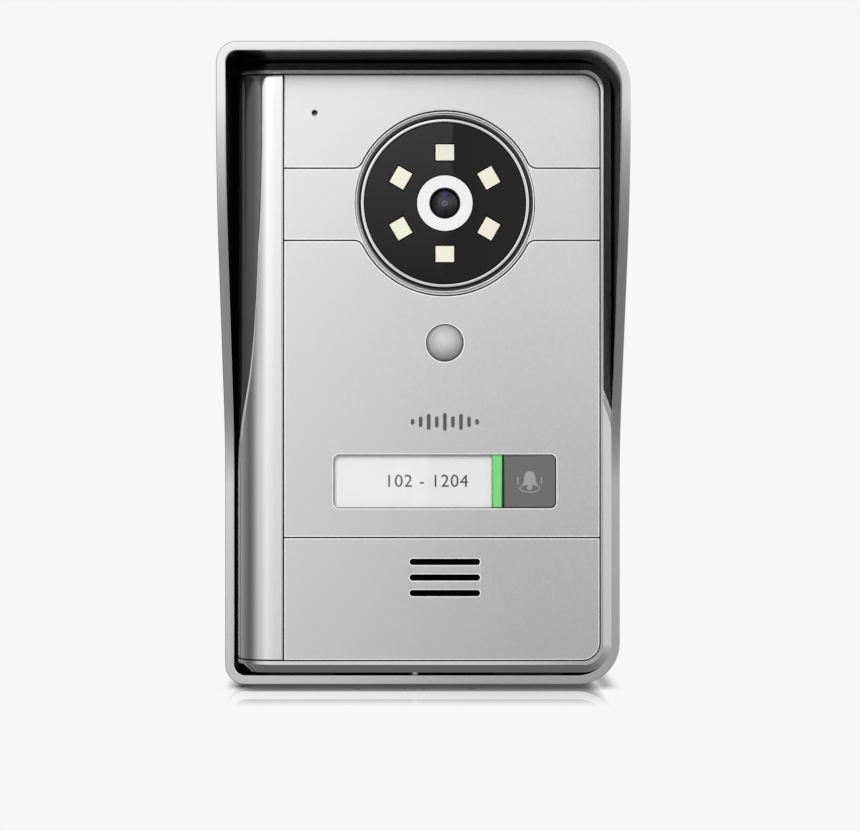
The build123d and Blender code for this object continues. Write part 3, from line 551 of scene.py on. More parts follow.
MATERIALS = {
    "hood_silver": metal("hood_silver", 0.82, 0.2, 0.015, 0.000002),
    "liner_black": plastic("liner_black", (0.012, 0.012, 0.012), 0.15, ior=1.85),
    "rubber_black": plastic("rubber_black", (0.008, 0.008, 0.008), 0.62, 0.15, 0.00001, ior=1.3),
    "screw_steel": metal("screw_steel", 0.62, 0.3, 0.03, 0.000004, stretch=(1, 1, 0.2)),
    "frame_silver": metal("frame_silver", 0.88, 0.12, 0.012, 0.000001),
    "column_silver": metal("column_silver", 0.88, 0.06, 0.01, 0.0000005, stretch=(1, 1, 0.1)),
    # recess_painted_shade: matte near-black painted shade on the walls and floors of the grooves, slots,
    # holes and the frame's joint
    "recess_painted_shade": plastic("recess_painted_shade", (0.03, 0.03, 0.03), 0.8, 0.2, ior=1.2),
    # rim_painted_highlight: lighter, partly diffuse metal on the face's narrow rims, a painted highlight
    "rim_painted_highlight": metal("rim_painted_highlight", 0.92, 0.2, 0.01, 0.0000005, metallic=0.35),
    "plate_satin": metal("plate_satin", 0.9, 0.24, 0.02, 0.000002),
    "bezel_dark": metal("bezel_dark", 0.22, 0.14, 0.02, 0.000001),
    "trim_bright": metal("trim_bright", 0.95, 0.1, 0.01, 0.0000005),
    "window_black": plastic("window_black", (0.0015, 0.0015, 0.0015), 0.008, 0.02, 0.0),
    "ring_white": plastic("ring_white", (0.78, 0.78, 0.78), 0.3, 0.01, 0.000001),
    "black_plastic": plastic("black_plastic", (0.015, 0.015, 0.015), 0.38, 0.12, 0.000006),
    "lens_coated": coated_lens("lens_coated"),
    "led_cream": plastic("led_cream", (0.785, 0.765, 0.63), 0.3, 0.02, 0.0),
    "board_green": plastic("board_green", (0.02, 0.12, 0.06), 0.32, 0.1, 0.000006),
    "pir_milky": milky_dome_rim_shaded("pir_milky"),
    "can_steel": metal("can_steel", 0.62, 0.25, 0.03, 0.000003),
    "mark_grey": plastic("mark_grey", (0.085, 0.085, 0.085), 0.5, 0.05, 0.000001),
    "window_clear": clear("window_clear", 0.985),
    "card_white": glow("card_white", (0.82, 0.82, 0.82), 0.7, 0.05),
    "bar_green": glow("bar_green", (0.19, 0.62, 0.19), 0.2, 0.05),
    "button_grey": plastic("button_grey", (0.13, 0.13, 0.13), 0.38, 0.04, 0.000003),
    "symbol_grey": plastic("symbol_grey", (0.32, 0.32, 0.32), 0.45, 0.03, 0.000001),
    "plunger_white": plastic("plunger_white", (0.75, 0.75, 0.72), 0.4),
    "speaker_cloth": plastic("speaker_cloth", (0.0015, 0.0015, 0.0015), 0.9, 0.3, 0.00002, ior=1.1),
    "cone_black": plastic("cone_black", (0.03, 0.03, 0.03), 0.8, 0.2, 0.00002),
    "magnet_grey": metal("magnet_grey", 0.25, 0.45, 0.06, 0.000008),
    "capacitor_can": metal("capacitor_can", 0.6, 0.28, 0.03, 0.000003),
    "terminal_green": plastic("terminal_green", (0.03, 0.3, 0.1), 0.4),
    "housing_black": plastic("housing_black", (0.025, 0.025, 0.025), 0.48, 0.1, 0.00001),
}


def paint_cad():
    """The CAD's own shapes take the same finishes."""
    for node, shape in frame["nodes"].items():
        shape.data.materials.clear()
        shape.data.materials.append(MATERIALS[SLOTS[node]])


# ---- rain hood -----------------------------------------------------------------------------------
HOOD = Box("rain_hood")


def hood_edge_depth(z):
    """Depth of the hood's front edge at a height: shallow, a concave arc, a slope, a convex arc, deep."""
    slope_start = SWEEP_START_Z + LOWER_SWEEP_RADIUS * math.sin(SWEEP_SLOPE)
    slope_end = SWEEP_END_Z - UPPER_SWEEP_RADIUS * math.sin(SWEEP_SLOPE)
    if z <= SWEEP_START_Z:
        return LOWER_DEPTH
    if z < slope_start:
        reach = z - SWEEP_START_Z
        return LOWER_DEPTH + LOWER_SWEEP_RADIUS - math.sqrt(LOWER_SWEEP_RADIUS ** 2 - reach ** 2)
    if z < slope_end:
        rise = LOWER_SWEEP_RADIUS * (1 - math.cos(SWEEP_SLOPE))
        return LOWER_DEPTH + rise + (z - slope_start) * math.tan(SWEEP_SLOPE)
    if z < SWEEP_END_Z:
        reach = SWEEP_END_Z - z
        return HOOD.front - UPPER_SWEEP_RADIUS + math.sqrt(UPPER_SWEEP_RADIUS ** 2 - reach ** 2)
    return HOOD.front


def hood_loop(inset, depth):
    """The hood's outline at a depth, moved in by inset. Its roof falls towards the lip."""
    top = HOOD.high - ROOF_FALL * depth / HOOD.front - inset
    stops = [SWEEP_START_Z - 3 + SWEEP_STEP * i for i in range(65)]
    return rounded(
        HOOD.left + inset, HOOD.right - inset, HOOD.low + inset, top,
        HOOD_RADIUS_LEFT - inset, HOOD_RADIUS_RIGHT - inset, stops, steps=14,
    )


def hood_back_holes():
    """Loops of the wall screws' holes and of the cable grommet's seat."""
    mounts = {mount["name"]: mount["dims"] for mount in frame["record"]["mounts"]}
    screws = mounts["wall_screws"]
    across = screws["spacing_x_mm"] / 2
    up = screws["spacing_y_mm"] / 2
    grommet = Box("cable_grommet")
    holes = [circle(x, z, screws["hole_r_mm"], 48) for x in (-across, across) for z in (-up, up)]
    return holes + [circle(grommet.x, grommet.z, grommet.radius - GROMMET_LIP, 96)]


def build_hood(mesh):
    """A shell whose rim is turned in to a flat lip with rounded edges, open to the front."""
    straight = 6.0
    back_edge = eased([(1.5, 0), (0, 0), (0, straight)], 0.5)
    lip = eased(
        [(0, straight), (0, 0.12), (0.12, 0), (LIP_WIDTH - 0.15, 0), (LIP_WIDTH, 0.15),
         (LIP_WIDTH, LIP_THICKNESS), (HOOD_WALL, LIP_THICKNESS), (HOOD_WALL, straight)], 0.14, steps=2,
    )
    rings = [lifted(hood_loop(inset, depth), depth) for inset, depth in back_edge]
    for inset, behind in lip:
        edge = [hood_edge_depth(z) - behind for _, z in hood_loop(inset, HOOD.front)]
        rings.append(lifted(hood_loop(inset, HOOD.front - behind), edge))
    rings.append(lifted(hood_loop(HOOD_WALL, HOOD_BACK), HOOD_BACK))
    rows = skin(mesh, rings)
    outside = [rows[0]]
    inside = [rows[-1]]
    for loop in hood_back_holes():
        mouth = lifted(grown(loop, HOLE_CHAMFER), 0)
        hole = skin(mesh, [mouth, lifted(loop, HOLE_CHAMFER), lifted(loop, HOOD_BACK)])
        outside.append(hole[0])
        inside.append(hole[-1])
    fill(mesh, outside)
    fill(mesh, inside)


def floor_cutter():
    """Upright bars where the locking screw and the drains go through the hood's floor."""
    screw = Box("locking_screw")
    depth = (screw.front + screw.back) / 2
    mesh = bmesh.new()
    drains = [(-DRAIN_OFFSET, DRAIN_RADIUS), (DRAIN_OFFSET, DRAIN_RADIUS)]
    for shift, radius in [(0, screw.radius + SCREW_ROOM)] + drains:
        loop = circle(screw.x + shift, 0, radius, 48)
        rings = [[mm(x, y - depth, z) for x, y in loop] for z in (HOOD.low - 1, HOOD.low + 2)]
        for row in skin(mesh, rings):
            mesh.faces.new(row)
    bmesh.ops.recalc_face_normals(mesh, faces=mesh.faces)
    return new_object("floor_cutter", mesh)


def cut(made, cutter):
    """Takes the cutter's volume out of a piece for good."""
    made.modifiers.clear()
    boolean = made.modifiers.new("cut", "BOOLEAN")
    boolean.object = cutter
    boolean.solver = "EXACT"
    bpy.context.view_layer.update()
    graph = bpy.context.evaluated_depsgraph_get()
    made.data = bpy.data.meshes.new_from_object(made.evaluated_get(graph))
    made.modifiers.clear()
    bpy.data.objects.remove(cutter)
    dress(made)


# ---- frame, column and face plate ----------------------------------------------------------------
def column_section(column, inset, z):
    """The column's outline seen from above, at one height: a crown and a round corner, with a wall."""
    front = column.front - inset
    edge = column.right + SEAM_GAP
    corner_x = column.left + COLUMN_CORNER_R
    between = COLUMN_CROWN_R - COLUMN_CORNER_R
    lean = math.degrees(math.asin((edge - corner_x) / between))
    corner_depth = column.front - COLUMN_CROWN_R + between * math.cos(math.radians(lean))
    seam = math.degrees(math.asin((SEAM_GAP + COLUMN_EASE) / COLUMN_CROWN_R))

    def sheet(deeper):
        side = arc(corner_x, corner_depth, COLUMN_CORNER_R - deeper, 180, lean - 90, 40)
        crown_depth = column.front - COLUMN_CROWN_R
        crown = arc(edge, crown_depth, COLUMN_CROWN_R - deeper, 90 + lean, seam - lean, 12)
        return [(column.left + deeper, column.back)] + side + crown[1:]

    corner = [(column.right - 0.03, front - 0.05), (column.right, front - 0.14)]
    corner += [(column.right, front - COLUMN_WALL)]
    return [mm(x, -depth, z) for x, depth in sheet(inset) + corner + sheet(COLUMN_WALL)[::-1]]


def build_column(mesh):
    """A shell with a slight crown and a round corner, and rounded ends."""
    column = Box("side_column")
    turns = [math.radians(30 * i) for i in range(4)]
    steps = [(COLUMN_EASE * (1 - math.sin(a)), COLUMN_EASE * (1 - math.cos(a))) for a in turns]
    rings = [column_section(column, inset, column.low + rise) for inset, rise in steps]
    rings += [column_section(column, inset, column.high - rise) for inset, rise in reversed(steps)]
    rows = skin(mesh, rings)
    for row in (rows[0], rows[-1]):
        mesh.faces.new(row)


def round_camera(side, shift):
    """Points of an engraved line, from left to right, moved away from the camera by shift."""
    camera = Box("camera_bezel")
    line = ENGRAVED_UPPER_Z if side > 0 else ENGRAVED_MIDDLE_Z
    rise = side * (line - camera.z) + ENGRAVED_FILLET
    reach = math.sqrt((ENGRAVED_R + ENGRAVED_FILLET) ** 2 - rise ** 2)
    tilt = math.degrees(math.atan2(rise, reach))
    points = arc(-reach, rise, ENGRAVED_FILLET - shift, 270, 90 - tilt, 8)
    points += arc(0, 0, ENGRAVED_R + shift, 180 - tilt, 2 * tilt - 180, 64)
    points += arc(reach, rise, ENGRAVED_FILLET - shift, 180 + tilt, 90 - tilt, 8)
    return [(camera.x + x, camera.z + side * z) for x, z in points]


def speaker_slots():
    speaker = Box("speaker_mesh")
    for index in (-1, 0, 1):
        z = speaker.z + index * SLOT_PITCH
        yield rounded(speaker.x - SLOT_LENGTH / 2, speaker.x + SLOT_LENGTH / 2, z - SLOT_HEIGHT / 2,
                      z + SLOT_HEIGHT / 2, SLOT_HEIGHT / 2, SLOT_HEIGHT / 2, steps=12)


def name_opening():
    window = Box("nameplate_window")
    left = window.left - FIT_GAP
    low = window.low - FIT_GAP
    high = window.high + FIT_GAP
    return rounded(left, NAME_RIGHT, low, high, NAME_RADIUS, NAME_RADIUS)


def face_openings():
    """The round openings in the face: camera, motion sensor and microphone."""
    camera = Box("camera_bezel")
    dome = Box("pir_dome")
    return (
        circle(camera.x, camera.z, PLATE_HOLE_R, 192),
        circle(dome.x, dome.z, PIR_HOLE_R, 96),
        circle(MIC_X, MIC_Z, MIC_HOLE_R, 32),
    )


def face_corners(face):
    """The plate's rounded corners on the right, the lower one and the upper one."""
    radius = LINE_RADIUS - JOINT_GAP
    x = face.right - radius
    lower = arc(x, face.low + radius, radius, 270, 90, 12)
    upper = arc(x, face.high - radius, radius, 0, 90, 12)
    return lower, upper


def face_panels(face):
    """Outline and openings of the four panels between the engraved lines, from the top down."""
    half = ENGRAVED_WIDTH / 2
    low_right, top_right = face_corners(face)
    camera_hole, dome_hole, mic_hole = face_openings()

    def across(line):
        """An engraved line's points with its ends on the plate's sides."""
        return [(face.left, line[0][1])] + line + [(face.right, line[-1][1])]

    low_line = [(face.left, ENGRAVED_LOWER_Z), (face.right, ENGRAVED_LOWER_Z)]
    above_low = [(x, z + half) for x, z in low_line]
    below_low = [(x, z - half) for x, z in low_line]
    return [
        (across(round_camera(1, half)) + top_right + [(face.left, face.high)], [mic_hole]),
        (across(round_camera(-1, -half)) + across(round_camera(1, -half))[::-1], [camera_hole]),
        (above_low + across(round_camera(-1, half))[::-1], [dome_hole, name_opening()]),
        ([(face.left, face.low)] + low_right + below_low[::-1], list(speaker_slots())),
    ]


def build_face(mesh):
    """Four panels with bright sloping rims on one sheet. The gaps between them are the engraved lines.

    The slots are the plate's satin, painted shade on the grooves' walls and floors, and a painted highlight
    on the rims.
    """
    face = Box("face_plate")
    sheet = face.front - ENGRAVED_DEPTH
    rim = [(0, 0.1), (0.03, LAND_DROP + 0.02), (0.05, LAND_DROP), (LAND, 0)]
    for outline, holes in face_panels(face):
        plate(mesh, outline, holes, sheet, face.front, rim)
    low_right, top_right = face_corners(face)
    outline = [(face.left, face.low)] + low_right + top_right + [(face.left, face.high)]
    holes = list(face_openings()) + [name_opening()] + list(speaker_slots())
    plate(mesh, outline, holes, face.back, sheet, [(0, 0)])
    # Flat front faces are satin, the narrow rims a painted highlight, deeper faces painted shade.
    for part in mesh.faces:
        drop = max(face.front + vertex.co.y / MM for vertex in part.verts)
        if drop < LAND_DROP / 10:
            part.material_index = 0
        elif drop < LAND_DROP + 0.03:
            part.material_index = 2
        else:
            part.material_index = 1


# ---- camera --------------------------------------------------------------------------------------
def camera_lathe(name, node, profile, steps=160, highlight_from=None):
    """A ring or tube round the camera's axis, from a closed profile of (radius, depth) points."""
    box = Box("camera_bezel")

    def build(mesh):
        lathe(mesh, profile, box.x, box.z, steps)
        # Faces beyond highlight_from take the bright trim metal, a painted highlight.
        for part in mesh.faces if highlight_from else []:
            middle = part.calc_center_median() / MM
            part.material_index = 1 if math.hypot(middle.x - box.x, middle.z - box.z) > highlight_from else 0

    return piece(name, node, build, [SLOTS[node], "trim_bright"] if highlight_from else None)


def lamp_places():
    """The turn of each lamp's place round the lens, from the top."""
    return [index * 60 for index in range(6)]


def lamp_loop(grow, turn, radius=0.15):
    """A lamp window's outline, turned round the lens to its place."""
    camera = Box("camera_bezel")
    z = camera.z + LED_CIRCLE_R
    loop = rounded(camera.x - LED_WIDTH / 2 - grow, camera.x + LED_WIDTH / 2 + grow,
                   z - LED_HEIGHT / 2 - grow, z + LED_HEIGHT / 2 + grow, radius, radius, steps=4)
    return turned_about(loop, camera.x, camera.z, turn)


def build_window(mesh):
    """The black disc with an opening for the lens and one for each lamp. Its walls take the second slot,
    matte painted shade.
    """
    box = Box("camera_window")
    lens = Box("lens_ring")
    holes = [circle(box.x, box.z, lens.radius + RING_ROOM, 96)]
    holes += [lamp_loop(LAMP_ROOM, turn) for turn in lamp_places()]
    disc = circle(box.x, box.z, box.radius - WINDOW_ROOM, 192)
    plate(mesh, disc, holes, box.back, box.front, round_rim(0.06))
    mesh.normal_update()
    for part in mesh.faces:
        part.material_index = 0 if abs(part.normal.y) > 0.8 else 1


def build_lamps(mesh):
    """Flat lamp windows with rounded edges, turned round the lens."""
    box = Box("led_windows")
    for turn in lamp_places():
        plate(mesh, lamp_loop(0, turn), [], box.back, box.front, round_rim(0.12))


def make_bezel():
    """The dark ring, rolling down inward, on a collar behind the plate. Its outer edge takes the bright trim
    metal as a painted highlight.
    """
    bezel = Box("camera_bezel")
    face = Box("face_plate").front
    outer = PLATE_HOLE_R - 0.1
    collar = [(BEZEL_BORE_R, bezel.back), (bezel.radius, bezel.back), (bezel.radius, face - 1.1)]
    collar += [(outer, face - 1.1)]
    crown = eased([(outer, face - 1.0), (outer, face + 0.38), (outer - 0.12, bezel.front), (outer - 0.45,
                   bezel.front - 0.02), (outer - 0.8, face + 0.32), (BEZEL_BORE_R + 0.25, face + 0.05),
                   (BEZEL_BORE_R, face - 0.4), (BEZEL_BORE_R, bezel.back + 0.5)], 0.3, steps=5)
    camera_lathe("bezel_ring", "camera_bezel", collar + crown, 192, highlight_from=outer - BEZEL_HIGHLIGHT)


def make_ring(name, node, inner, lower, radius, steps, around=160):
    """A ring with an eased front. Its inner edge may be lower than its outer edge."""
    ring = Box(node)
    foot = ring.back + 0.3
    crown = eased([(inner, foot), (inner, ring.front - lower), (ring.radius, ring.front),
                   (ring.radius, foot)], radius, steps=steps)
    camera_lathe(name, node, [(inner, ring.back)] + crown + [(ring.radius, ring.back)], around)


def make_lens():
    """The barrel with a seat for the glass over a stepped throat, and the domed front glass."""
    barrel = Box("lens_barrel")
    glass = Box("lens_glass")
    face = Box("face_plate").front
    seat = glass.radius + 0.05
    mouth = eased([(barrel.radius, face - 1), (barrel.radius, face), (seat + 0.1, barrel.front),
                   (seat, face - 0.1), (seat, face - 1.2), (2.6, face - 1.2), (2.4, face - 2.0),
                   (1.8, face - 2.0), (1.6, face - 3.2), (0.02, face - 3.2)], 0.06, steps=2)
    camera_lathe("lens_tube", "lens_barrel", [(0.02, barrel.back), (barrel.radius, barrel.back)] + mouth)
    bulge = (glass.radius ** 2 + GLASS_RISE ** 2) / (2 * GLASS_RISE)
    dome = []
    for i in range(25):
        r = glass.radius * (1 - i / 24)
        dome.append((max(r, 0.01), glass.front - bulge + math.sqrt(bulge ** 2 - r ** 2)))
    camera_lathe("lens_front", "lens_glass", [(0.01, glass.back), (glass.radius, glass.back)] + dome)


def make_camera_unit():
    """The rings, the window and the lens, from the outside in."""
    make_bezel()
    trim = Box("camera_trim_ring")
    make_ring("trim_ring", "camera_trim_ring", trim.radius - TRIM_WIDTH, 0, 0.12, 4, 192)
    piece("window_disc", "camera_window", build_window, ["window_black", "recess_painted_shade"])
    piece("lamp_windows", "led_windows", build_lamps)
    make_ring("white_ring", "lens_ring", Box("lens_barrel").radius + 0.1, 0.05, 0.15, 3)
    make_lens()


# ---- motion sensor -------------------------------------------------------------------------------
def build_dome(mesh):
    """A thin shallow dome on a collar with a flange behind the plate."""
    dome = Box("pir_dome")
    face = Box("face_plate").front
    rise = dome.front - face
    radius = PIR_HOLE_R - FIT_GAP
    bulge = (radius ** 2 + rise ** 2) / (2 * rise)
    outside = []
    inside = []
    for i in range(33):
        r = (radius - 0.08) * (1 - i / 32)
        outside.append((max(r, 0.01), dome.front - bulge + math.sqrt(bulge ** 2 - r ** 2)))
        inside.append((max(r - 0.7 * (1 - i / 32), 0.01), outside[-1][1] - DOME_WALL))
    neck = [(radius - 0.9, dome.back), (dome.radius, dome.back), (dome.radius, face - 1.1)]
    neck += [(radius, face - 1.1), (radius, face - 0.1)]
    lathe(mesh, neck + outside + inside[::-1], dome.x, dome.z, 128)


# ---- name window, light bar and call key ---------------------------------------------------------
def build_name_window(mesh):
    """The clear plate over the card, up to the opening's edge but for a hairline."""
    window = Box("nameplate_window")
    outline = rounded(window.left, window.right, window.low, window.high, NAME_RADIUS - FIT_GAP, 0.08)
    plate(mesh, grown(outline, 0.1), [], window.back, window.front, round_rim(0.06))


def build_light_bar(mesh):
    bar = Box("status_light_bar")
    outline = rounded(bar.left, bar.right, bar.low, bar.high, 0.15, 0.15)
    plate(mesh, outline, [], bar.back, bar.front, round_rim(0.25))


def key_loop(grow):
    """The key's outline, grown everywhere but towards the light bar."""
    bar = Box("status_light_bar")
    left = bar.right + KEY_GAP
    right = NAME_RIGHT - FIT_GAP + grow
    return rounded(left, right, bar.low - grow, bar.high + grow, 0.15, NAME_RADIUS - FIT_GAP + grow)


def build_key(mesh):
    """The key's cap, with softened edges, and the retaining flange behind the plate."""
    key = Box("call_button")
    flange_front = Box("face_plate").back - 0.3
    plate(mesh, key_loop(0), [], flange_front - 0.1, key.front, round_rim(0.28, 5))
    plate(mesh, key_loop(KEY_FLANGE), [], key.back, flange_front, round_rim(0.05))


def make_card_number():
    """A plain door number printed on the card, as raised ink."""
    card = Box("name_card")
    curve = bpy.data.curves.new("card_number", "FONT")
    curve.body = NUMBER
    curve.size = NUMBER_SIZE * MM
    curve.align_x = "CENTER"
    curve.align_y = "CENTER"
    curve.extrude = 0.01 * MM
    curve.space_character = 1.08
    text = bpy.data.objects.new("card_number", curve)
    bpy.context.scene.collection.objects.link(text)
    text.rotation_euler = (math.pi / 2, 0, 0)
    text.location = mm(NUMBER_X, -card.front - 0.01, card.z - 0.1)
    curve.materials.append(plastic("card_ink", (0.045, 0.045, 0.045), 0.6, 0.05, 0.0))
    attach(text, BODIES["name_card"])


def shape_frame(mesh):
    """The frame's rim leans in. The walls and the ledge in its opening take the second slot, painted shade
    in the joint round the face.
    """
    face = Box("face_plate")
    for vertex in mesh.verts:
        x, depth, z = vertex.co.x / MM, -vertex.co.y / MM, vertex.co.z / MM
        if depth > face.front - 0.01 and max(x - face.right, face.low - z, z - face.high) < JOINT_GAP + 0.05:
            vertex.co.y += RIM_LEAN * MM
    for part in mesh.faces:
        inside = True
        for vertex in part.verts:
            x, z = vertex.co.x / MM, vertex.co.z / MM
            inside = inside and max(x - face.right, face.low - z, z - face.high) < JOINT_GAP + 0.02
        part.material_index = 1 if inside else 0


# ---- everything in its place ---------------------------------------------------------------------
EASED = {
    "hood_liner": 0.15, "locking_screw": 0.12, "cable_grommet": 0.3,
    "rear_housing": 0.3, "housing_seal": 0.15, "nameplate_tray": 0.1, "name_card": 0.04,
    "board_chips": 0.12, "board_capacitors": 0.35, "board_connectors": 0.15, "terminal_block": 0.25,
    "terminal_screws": 0.12, "housing_screws": 0.12, "board_screws": 0.12, "speaker_frame": 0.15,
    "speaker_magnet": 0.3, "camera_carrier": 0.2, "sensor_holder": 0.2, "pir_sensor": 0.1,
    "call_switch": 0.15, "switch_plunger": 0.15, "mic_boot": 0.2, "mic_capsule": 0.15, "key_lamps": 0.08,
    "night_leds": 0.1, "main_board": 0.08, "key_board": 0.06, "led_board": 0.06, "sensor_board": 0.06,
    "window_seal": 0.1, "speaker_seal": 0.1, "speaker_mesh": 0.05, "speaker_cone": 0.05,
    "bell_symbol": 0.012, "sound_mark": 0.012,
}


def make_pieces():
    cut(piece("hood_shell", "rain_hood", build_hood), floor_cutter())
    piece("column_shell", "side_column", build_column)
    # The face's grooves and holes take painted shade, its rims a painted highlight.
    piece("face_panels", "face_plate", build_face, ["plate_satin", "recess_painted_shade", "rim_painted_highlight"])
    make_camera_unit()
    piece("motion_dome", "pir_dome", build_dome)
    piece("name_window", "nameplate_window", build_name_window)
    piece("light_bar", "status_light_bar", build_light_bar)
    piece("call_key", "call_button", build_key)
    make_card_number()
    eased_copy("front_frame", 0.08, shape=shape_frame, slots=["frame_silver", "recess_painted_shade"])
    for node, width in EASED.items():
        eased_copy(node, width)


# ---- camera, light and stage -----------------------------------------------------------------
# The studio's brightness round the object, in degrees from straight in front, positive to the right.
STUDIO_HIGH = [
    (-180, 0.535), (-150, 0.535), (-115, 0.12), (-97, 0.1), (-80, 0.1), (-65, 0.1), (-55, 0.12), (-45, 0.13),
    (-33, 0.18), (-22, 0.34), (-17, 0.69), (-10, 0.59), (0, 0.59), (4.2, 0.6), (7, 0.68), (14, 0.6),
    (60, 0.6), (90, 0.3), (150, 0.535), (180, 0.535),
]
STUDIO_LOW = [
    (-180, 0.5), (-150, 0.52), (-132, 0.5), (-115, 0.364), (-97, 0.23), (-80, 0.17), (-62, 0.1), (-52, 0.12),
    (-45, 0.167), (-33, 0.325), (-22, 0.488), (-17, 0.69), (-10, 0.585), (0, 0.57), (4.2, 0.49), (7, 0.42),
    (14, 0.42), (60, 0.45), (90, 0.5), (150, 0.5), (180, 0.5),
]
PANEL_EDGE = math.radians(0.87)       # where the bright panel on the left ends, sharply
PANEL_STRIP = math.radians(-2.2)      # where the strip along that end begins, which dims downward
PANEL_REST = math.radians(14)         # where the darker panel beside it has risen to full brightness
PANEL_DARK = 0.45                     # how much darker the panel beside it is where they meet
PANEL_LEAN = 0.074                    # how far the panels' edges lean to the right as they rise
FOOT_DARK = 0.2                       # the dark strip behind the object that its foot mirrors
# The studio's brightness by height: the upward part of the direction, from -1 (down) to 1 (up).
STUDIO_LEVEL = [
    (-1, 0.12), (-0.75, 0.23), (-0.5, 0.3), (-0.3, 0.42), (-0.14, 0.565), (0, 0.68), (0.14, 0.83),
    (0.175, 0.92), (0.35, 1.0), (0.6, 0.4), (1, 0.15),
]
STUDIO_STRENGTH = 2.1
FLOOR_GAP = 0.8                       # millimetres below the object's foot
FLOOR_MIRROR = 0.75


def make_view():
    """A long lens level with the middle of the object, a little left of it, at half a metre."""
    camera = bpy.data.objects.new("camera", bpy.data.cameras.new("camera"))
    bpy.context.scene.collection.objects.link(camera)
    camera.data.lens = 82.05
    camera.data.sensor_width = 36.0
    camera.data.shift_x = 0.0291
    camera.data.shift_y = -0.0390
    camera.data.clip_start = 0.01
    camera.data.clip_end = 50.0
    camera.location = mm(-4.39, -517.0, -2.7)
    camera.rotation_euler = (math.pi / 2, 0, 0)
    bpy.context.scene.camera = camera


def panels_ahead(nodes, leaned, z):
    """The panels in front: the left one ends sharply and dims downward there, the right one is darker."""
    beside = nodes.span(leaned, PANEL_EDGE, PANEL_REST, PANEL_DARK, 1.0)
    past_edge = nodes.math("GREATER_THAN", leaned, PANEL_EDGE)
    near_edge = nodes.math("SUBTRACT", nodes.math("GREATER_THAN", leaned, PANEL_STRIP), past_edge)
    lowering = nodes.times(nodes.span(z, 0.125, 0.045, 0, 1), nodes.span(z, 0.0, 0.02, 0, 1))
    strip = nodes.span(nodes.times(near_edge, lowering), 0, 1, 1.0, PANEL_DARK)
    return nodes.times(nodes.mix(past_edge, 1.0, beside), strip)


def strip_behind(nodes, azimuth, z):
    """A dark strip behind the object, just below level."""
    behind = nodes.span(nodes.math("ABSOLUTE", azimuth), 2.4, 2.6, 0, 1)
    shallow = nodes.times(nodes.span(z, -0.5, -0.3, 0, 1), nodes.span(z, -0.02, -0.04, 0, 1))
    return nodes.span(nodes.times(behind, shallow), 0, 1, 1.0, FOOT_DARK)


def studio_world():
    """A soft studio all round, brightest in front on the left. The camera itself sees plain paper."""
    world = bpy.data.worlds.new("studio")
    world.use_nodes = True
    bpy.context.scene.world = world
    nodes = Nodes(world.node_tree)
    direction = nodes.add("ShaderNodeTexCoord").outputs["Generated"]
    x, y, z = nodes.add("ShaderNodeSeparateXYZ", {0: direction}).outputs
    azimuth = nodes.math("ARCTAN2", x, nodes.times(y, -1.0))
    leaned = nodes.math("SUBTRACT", azimuth, nodes.times(z, PANEL_LEAN))
    turn = nodes.span(leaned, -math.pi, math.pi, 0, 1)
    high = nodes.ramp(turn, [(0.5 + degrees / 360, grey) for degrees, grey in STUDIO_HIGH])
    low = nodes.ramp(turn, [(0.5 + degrees / 360, grey) for degrees, grey in STUDIO_LOW])
    around = nodes.mix(nodes.span(z, -0.03, 0.06, 0, 1, smooth=True), low, high)
    around = nodes.times(around, panels_ahead(nodes, leaned, z))
    around = nodes.times(around, strip_behind(nodes, azimuth, z))
    heights = [(0.5 + height / 2, grey) for height, grey in STUDIO_LEVEL]
    level = nodes.ramp(nodes.span(z, -1, 1, 0, 1), heights)
    strength = nodes.times(nodes.times(around, level), STUDIO_STRENGTH)
    seen = nodes.add("ShaderNodeLightPath").outputs["Is Camera Ray"]
    studio = nodes.add("ShaderNodeBackground", {"Color": rgba(1.0), "Strength": strength})
    paper = nodes.add("ShaderNodeBackground", {"Color": rgba(PAPER_WHITE), "Strength": 1.0})
    both = nodes.add("ShaderNodeMixShader", {0: seen, 1: studio.outputs[0], 2: paper.outputs[0]})
    output = nodes.add("ShaderNodeOutputWorld")
    world.node_tree.links.new(both.outputs[0], output.inputs["Surface"])


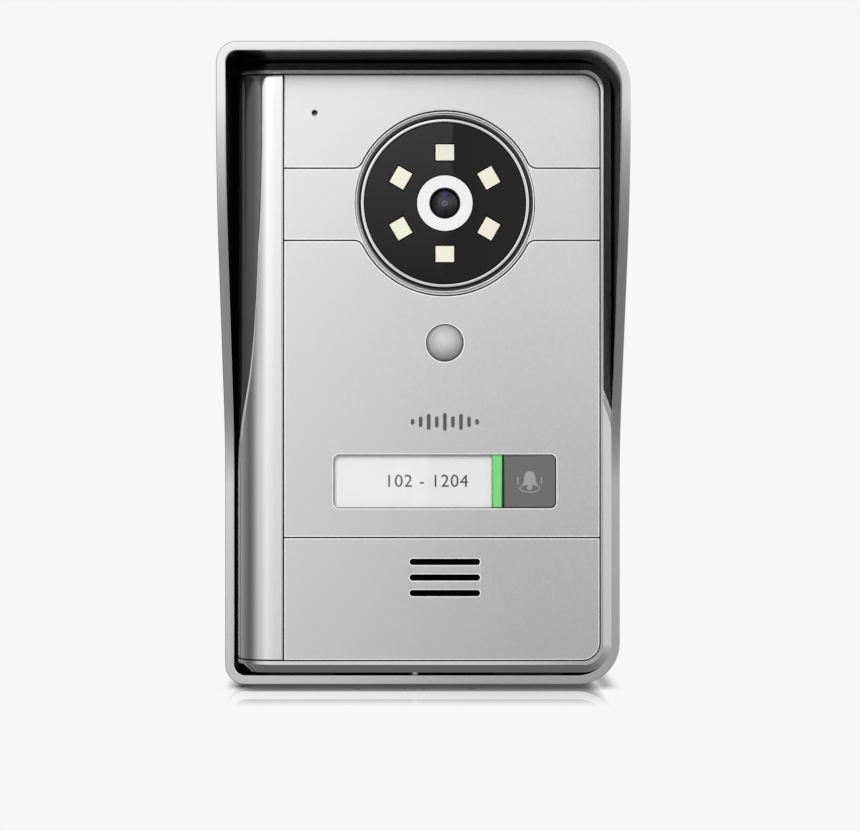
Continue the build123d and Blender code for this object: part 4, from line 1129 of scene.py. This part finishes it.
def make_lamp(name, place, aim, size, power):
    """A soft square lamp for the matte surfaces. The metal takes its highlights from the studio."""
    data = bpy.data.lights.new(name, "AREA")
    data.size = size
    data.energy = power
    lamp = bpy.data.objects.new(name, data)
    bpy.context.scene.collection.objects.link(lamp)
    lamp.location = place
    lamp.rotation_euler = (aim - place).to_track_quat("-Z", "Y").to_euler()
    lamp.visible_glossy = False


def make_floor():
    """A pale table just under the object, mirroring and shaded only close to its foot."""
    level = CAD_BOX[0].z - FLOOR_GAP * MM
    bpy.ops.mesh.primitive_circle_add(vertices=96, radius=6.0, fill_type="NGON", location=(0, 0, level))
    floor = bpy.context.object
    floor.name = "floor"

    def build(nodes):
        place = nodes.add("ShaderNodeSeparateXYZ", {0: nodes.position()})
        front_fade = nodes.span(place.outputs[1], -0.058, -0.034, 0.0, 1.0, smooth=True)
        back_fade = nodes.span(place.outputs[1], 0.03, -0.015, 0.0, 1.0, smooth=True)
        beside = nodes.math("ABSOLUTE", place.outputs[0])
        side_fade = nodes.span(beside, 0.0495, 0.041, 0.0, 1.0, smooth=True)
        fade = nodes.times(nodes.times(front_fade, back_fade), side_fade)
        open_sky = nodes.add("ShaderNodeAmbientOcclusion", {"Distance": 0.006}, samples=8).outputs["AO"]
        shade = nodes.math("POWER", nodes.span(open_sky, 0.05, 0.98, 0.0, 1.0), 2.0)
        shade = nodes.mix(nodes.span(beside, 0.0455, 0.0505, 0.0, 1.0, smooth=True), shade, 1.0)
        paper = nodes.add("ShaderNodeEmission", {"Color": rgba(PAPER_WHITE), "Strength": shade})
        mirror = nodes.add("ShaderNodeBsdfGlossy", {"Color": rgba(0.96), "Roughness": 0.02})
        share = nodes.times(fade, FLOOR_MIRROR)
        return nodes.add("ShaderNodeMixShader", {0: share, 1: paper.outputs[0], 2: mirror.outputs[0]})

    floor.data.materials.append(material("floor_paper", build))
    floor.visible_glossy = False
    floor.visible_diffuse = False


# ---- the scene -------------------------------------------------------------------------------
scene = bpy.context.scene
scene.view_settings.view_transform = "Standard"
paint_cad()
make_pieces()
make_view()
studio_world()
make_lamp("key_lamp", place=Vector((-0.35, -0.75, 0.55)), aim=Vector((0, 0, 0)), size=0.5, power=9.0)
make_floor()
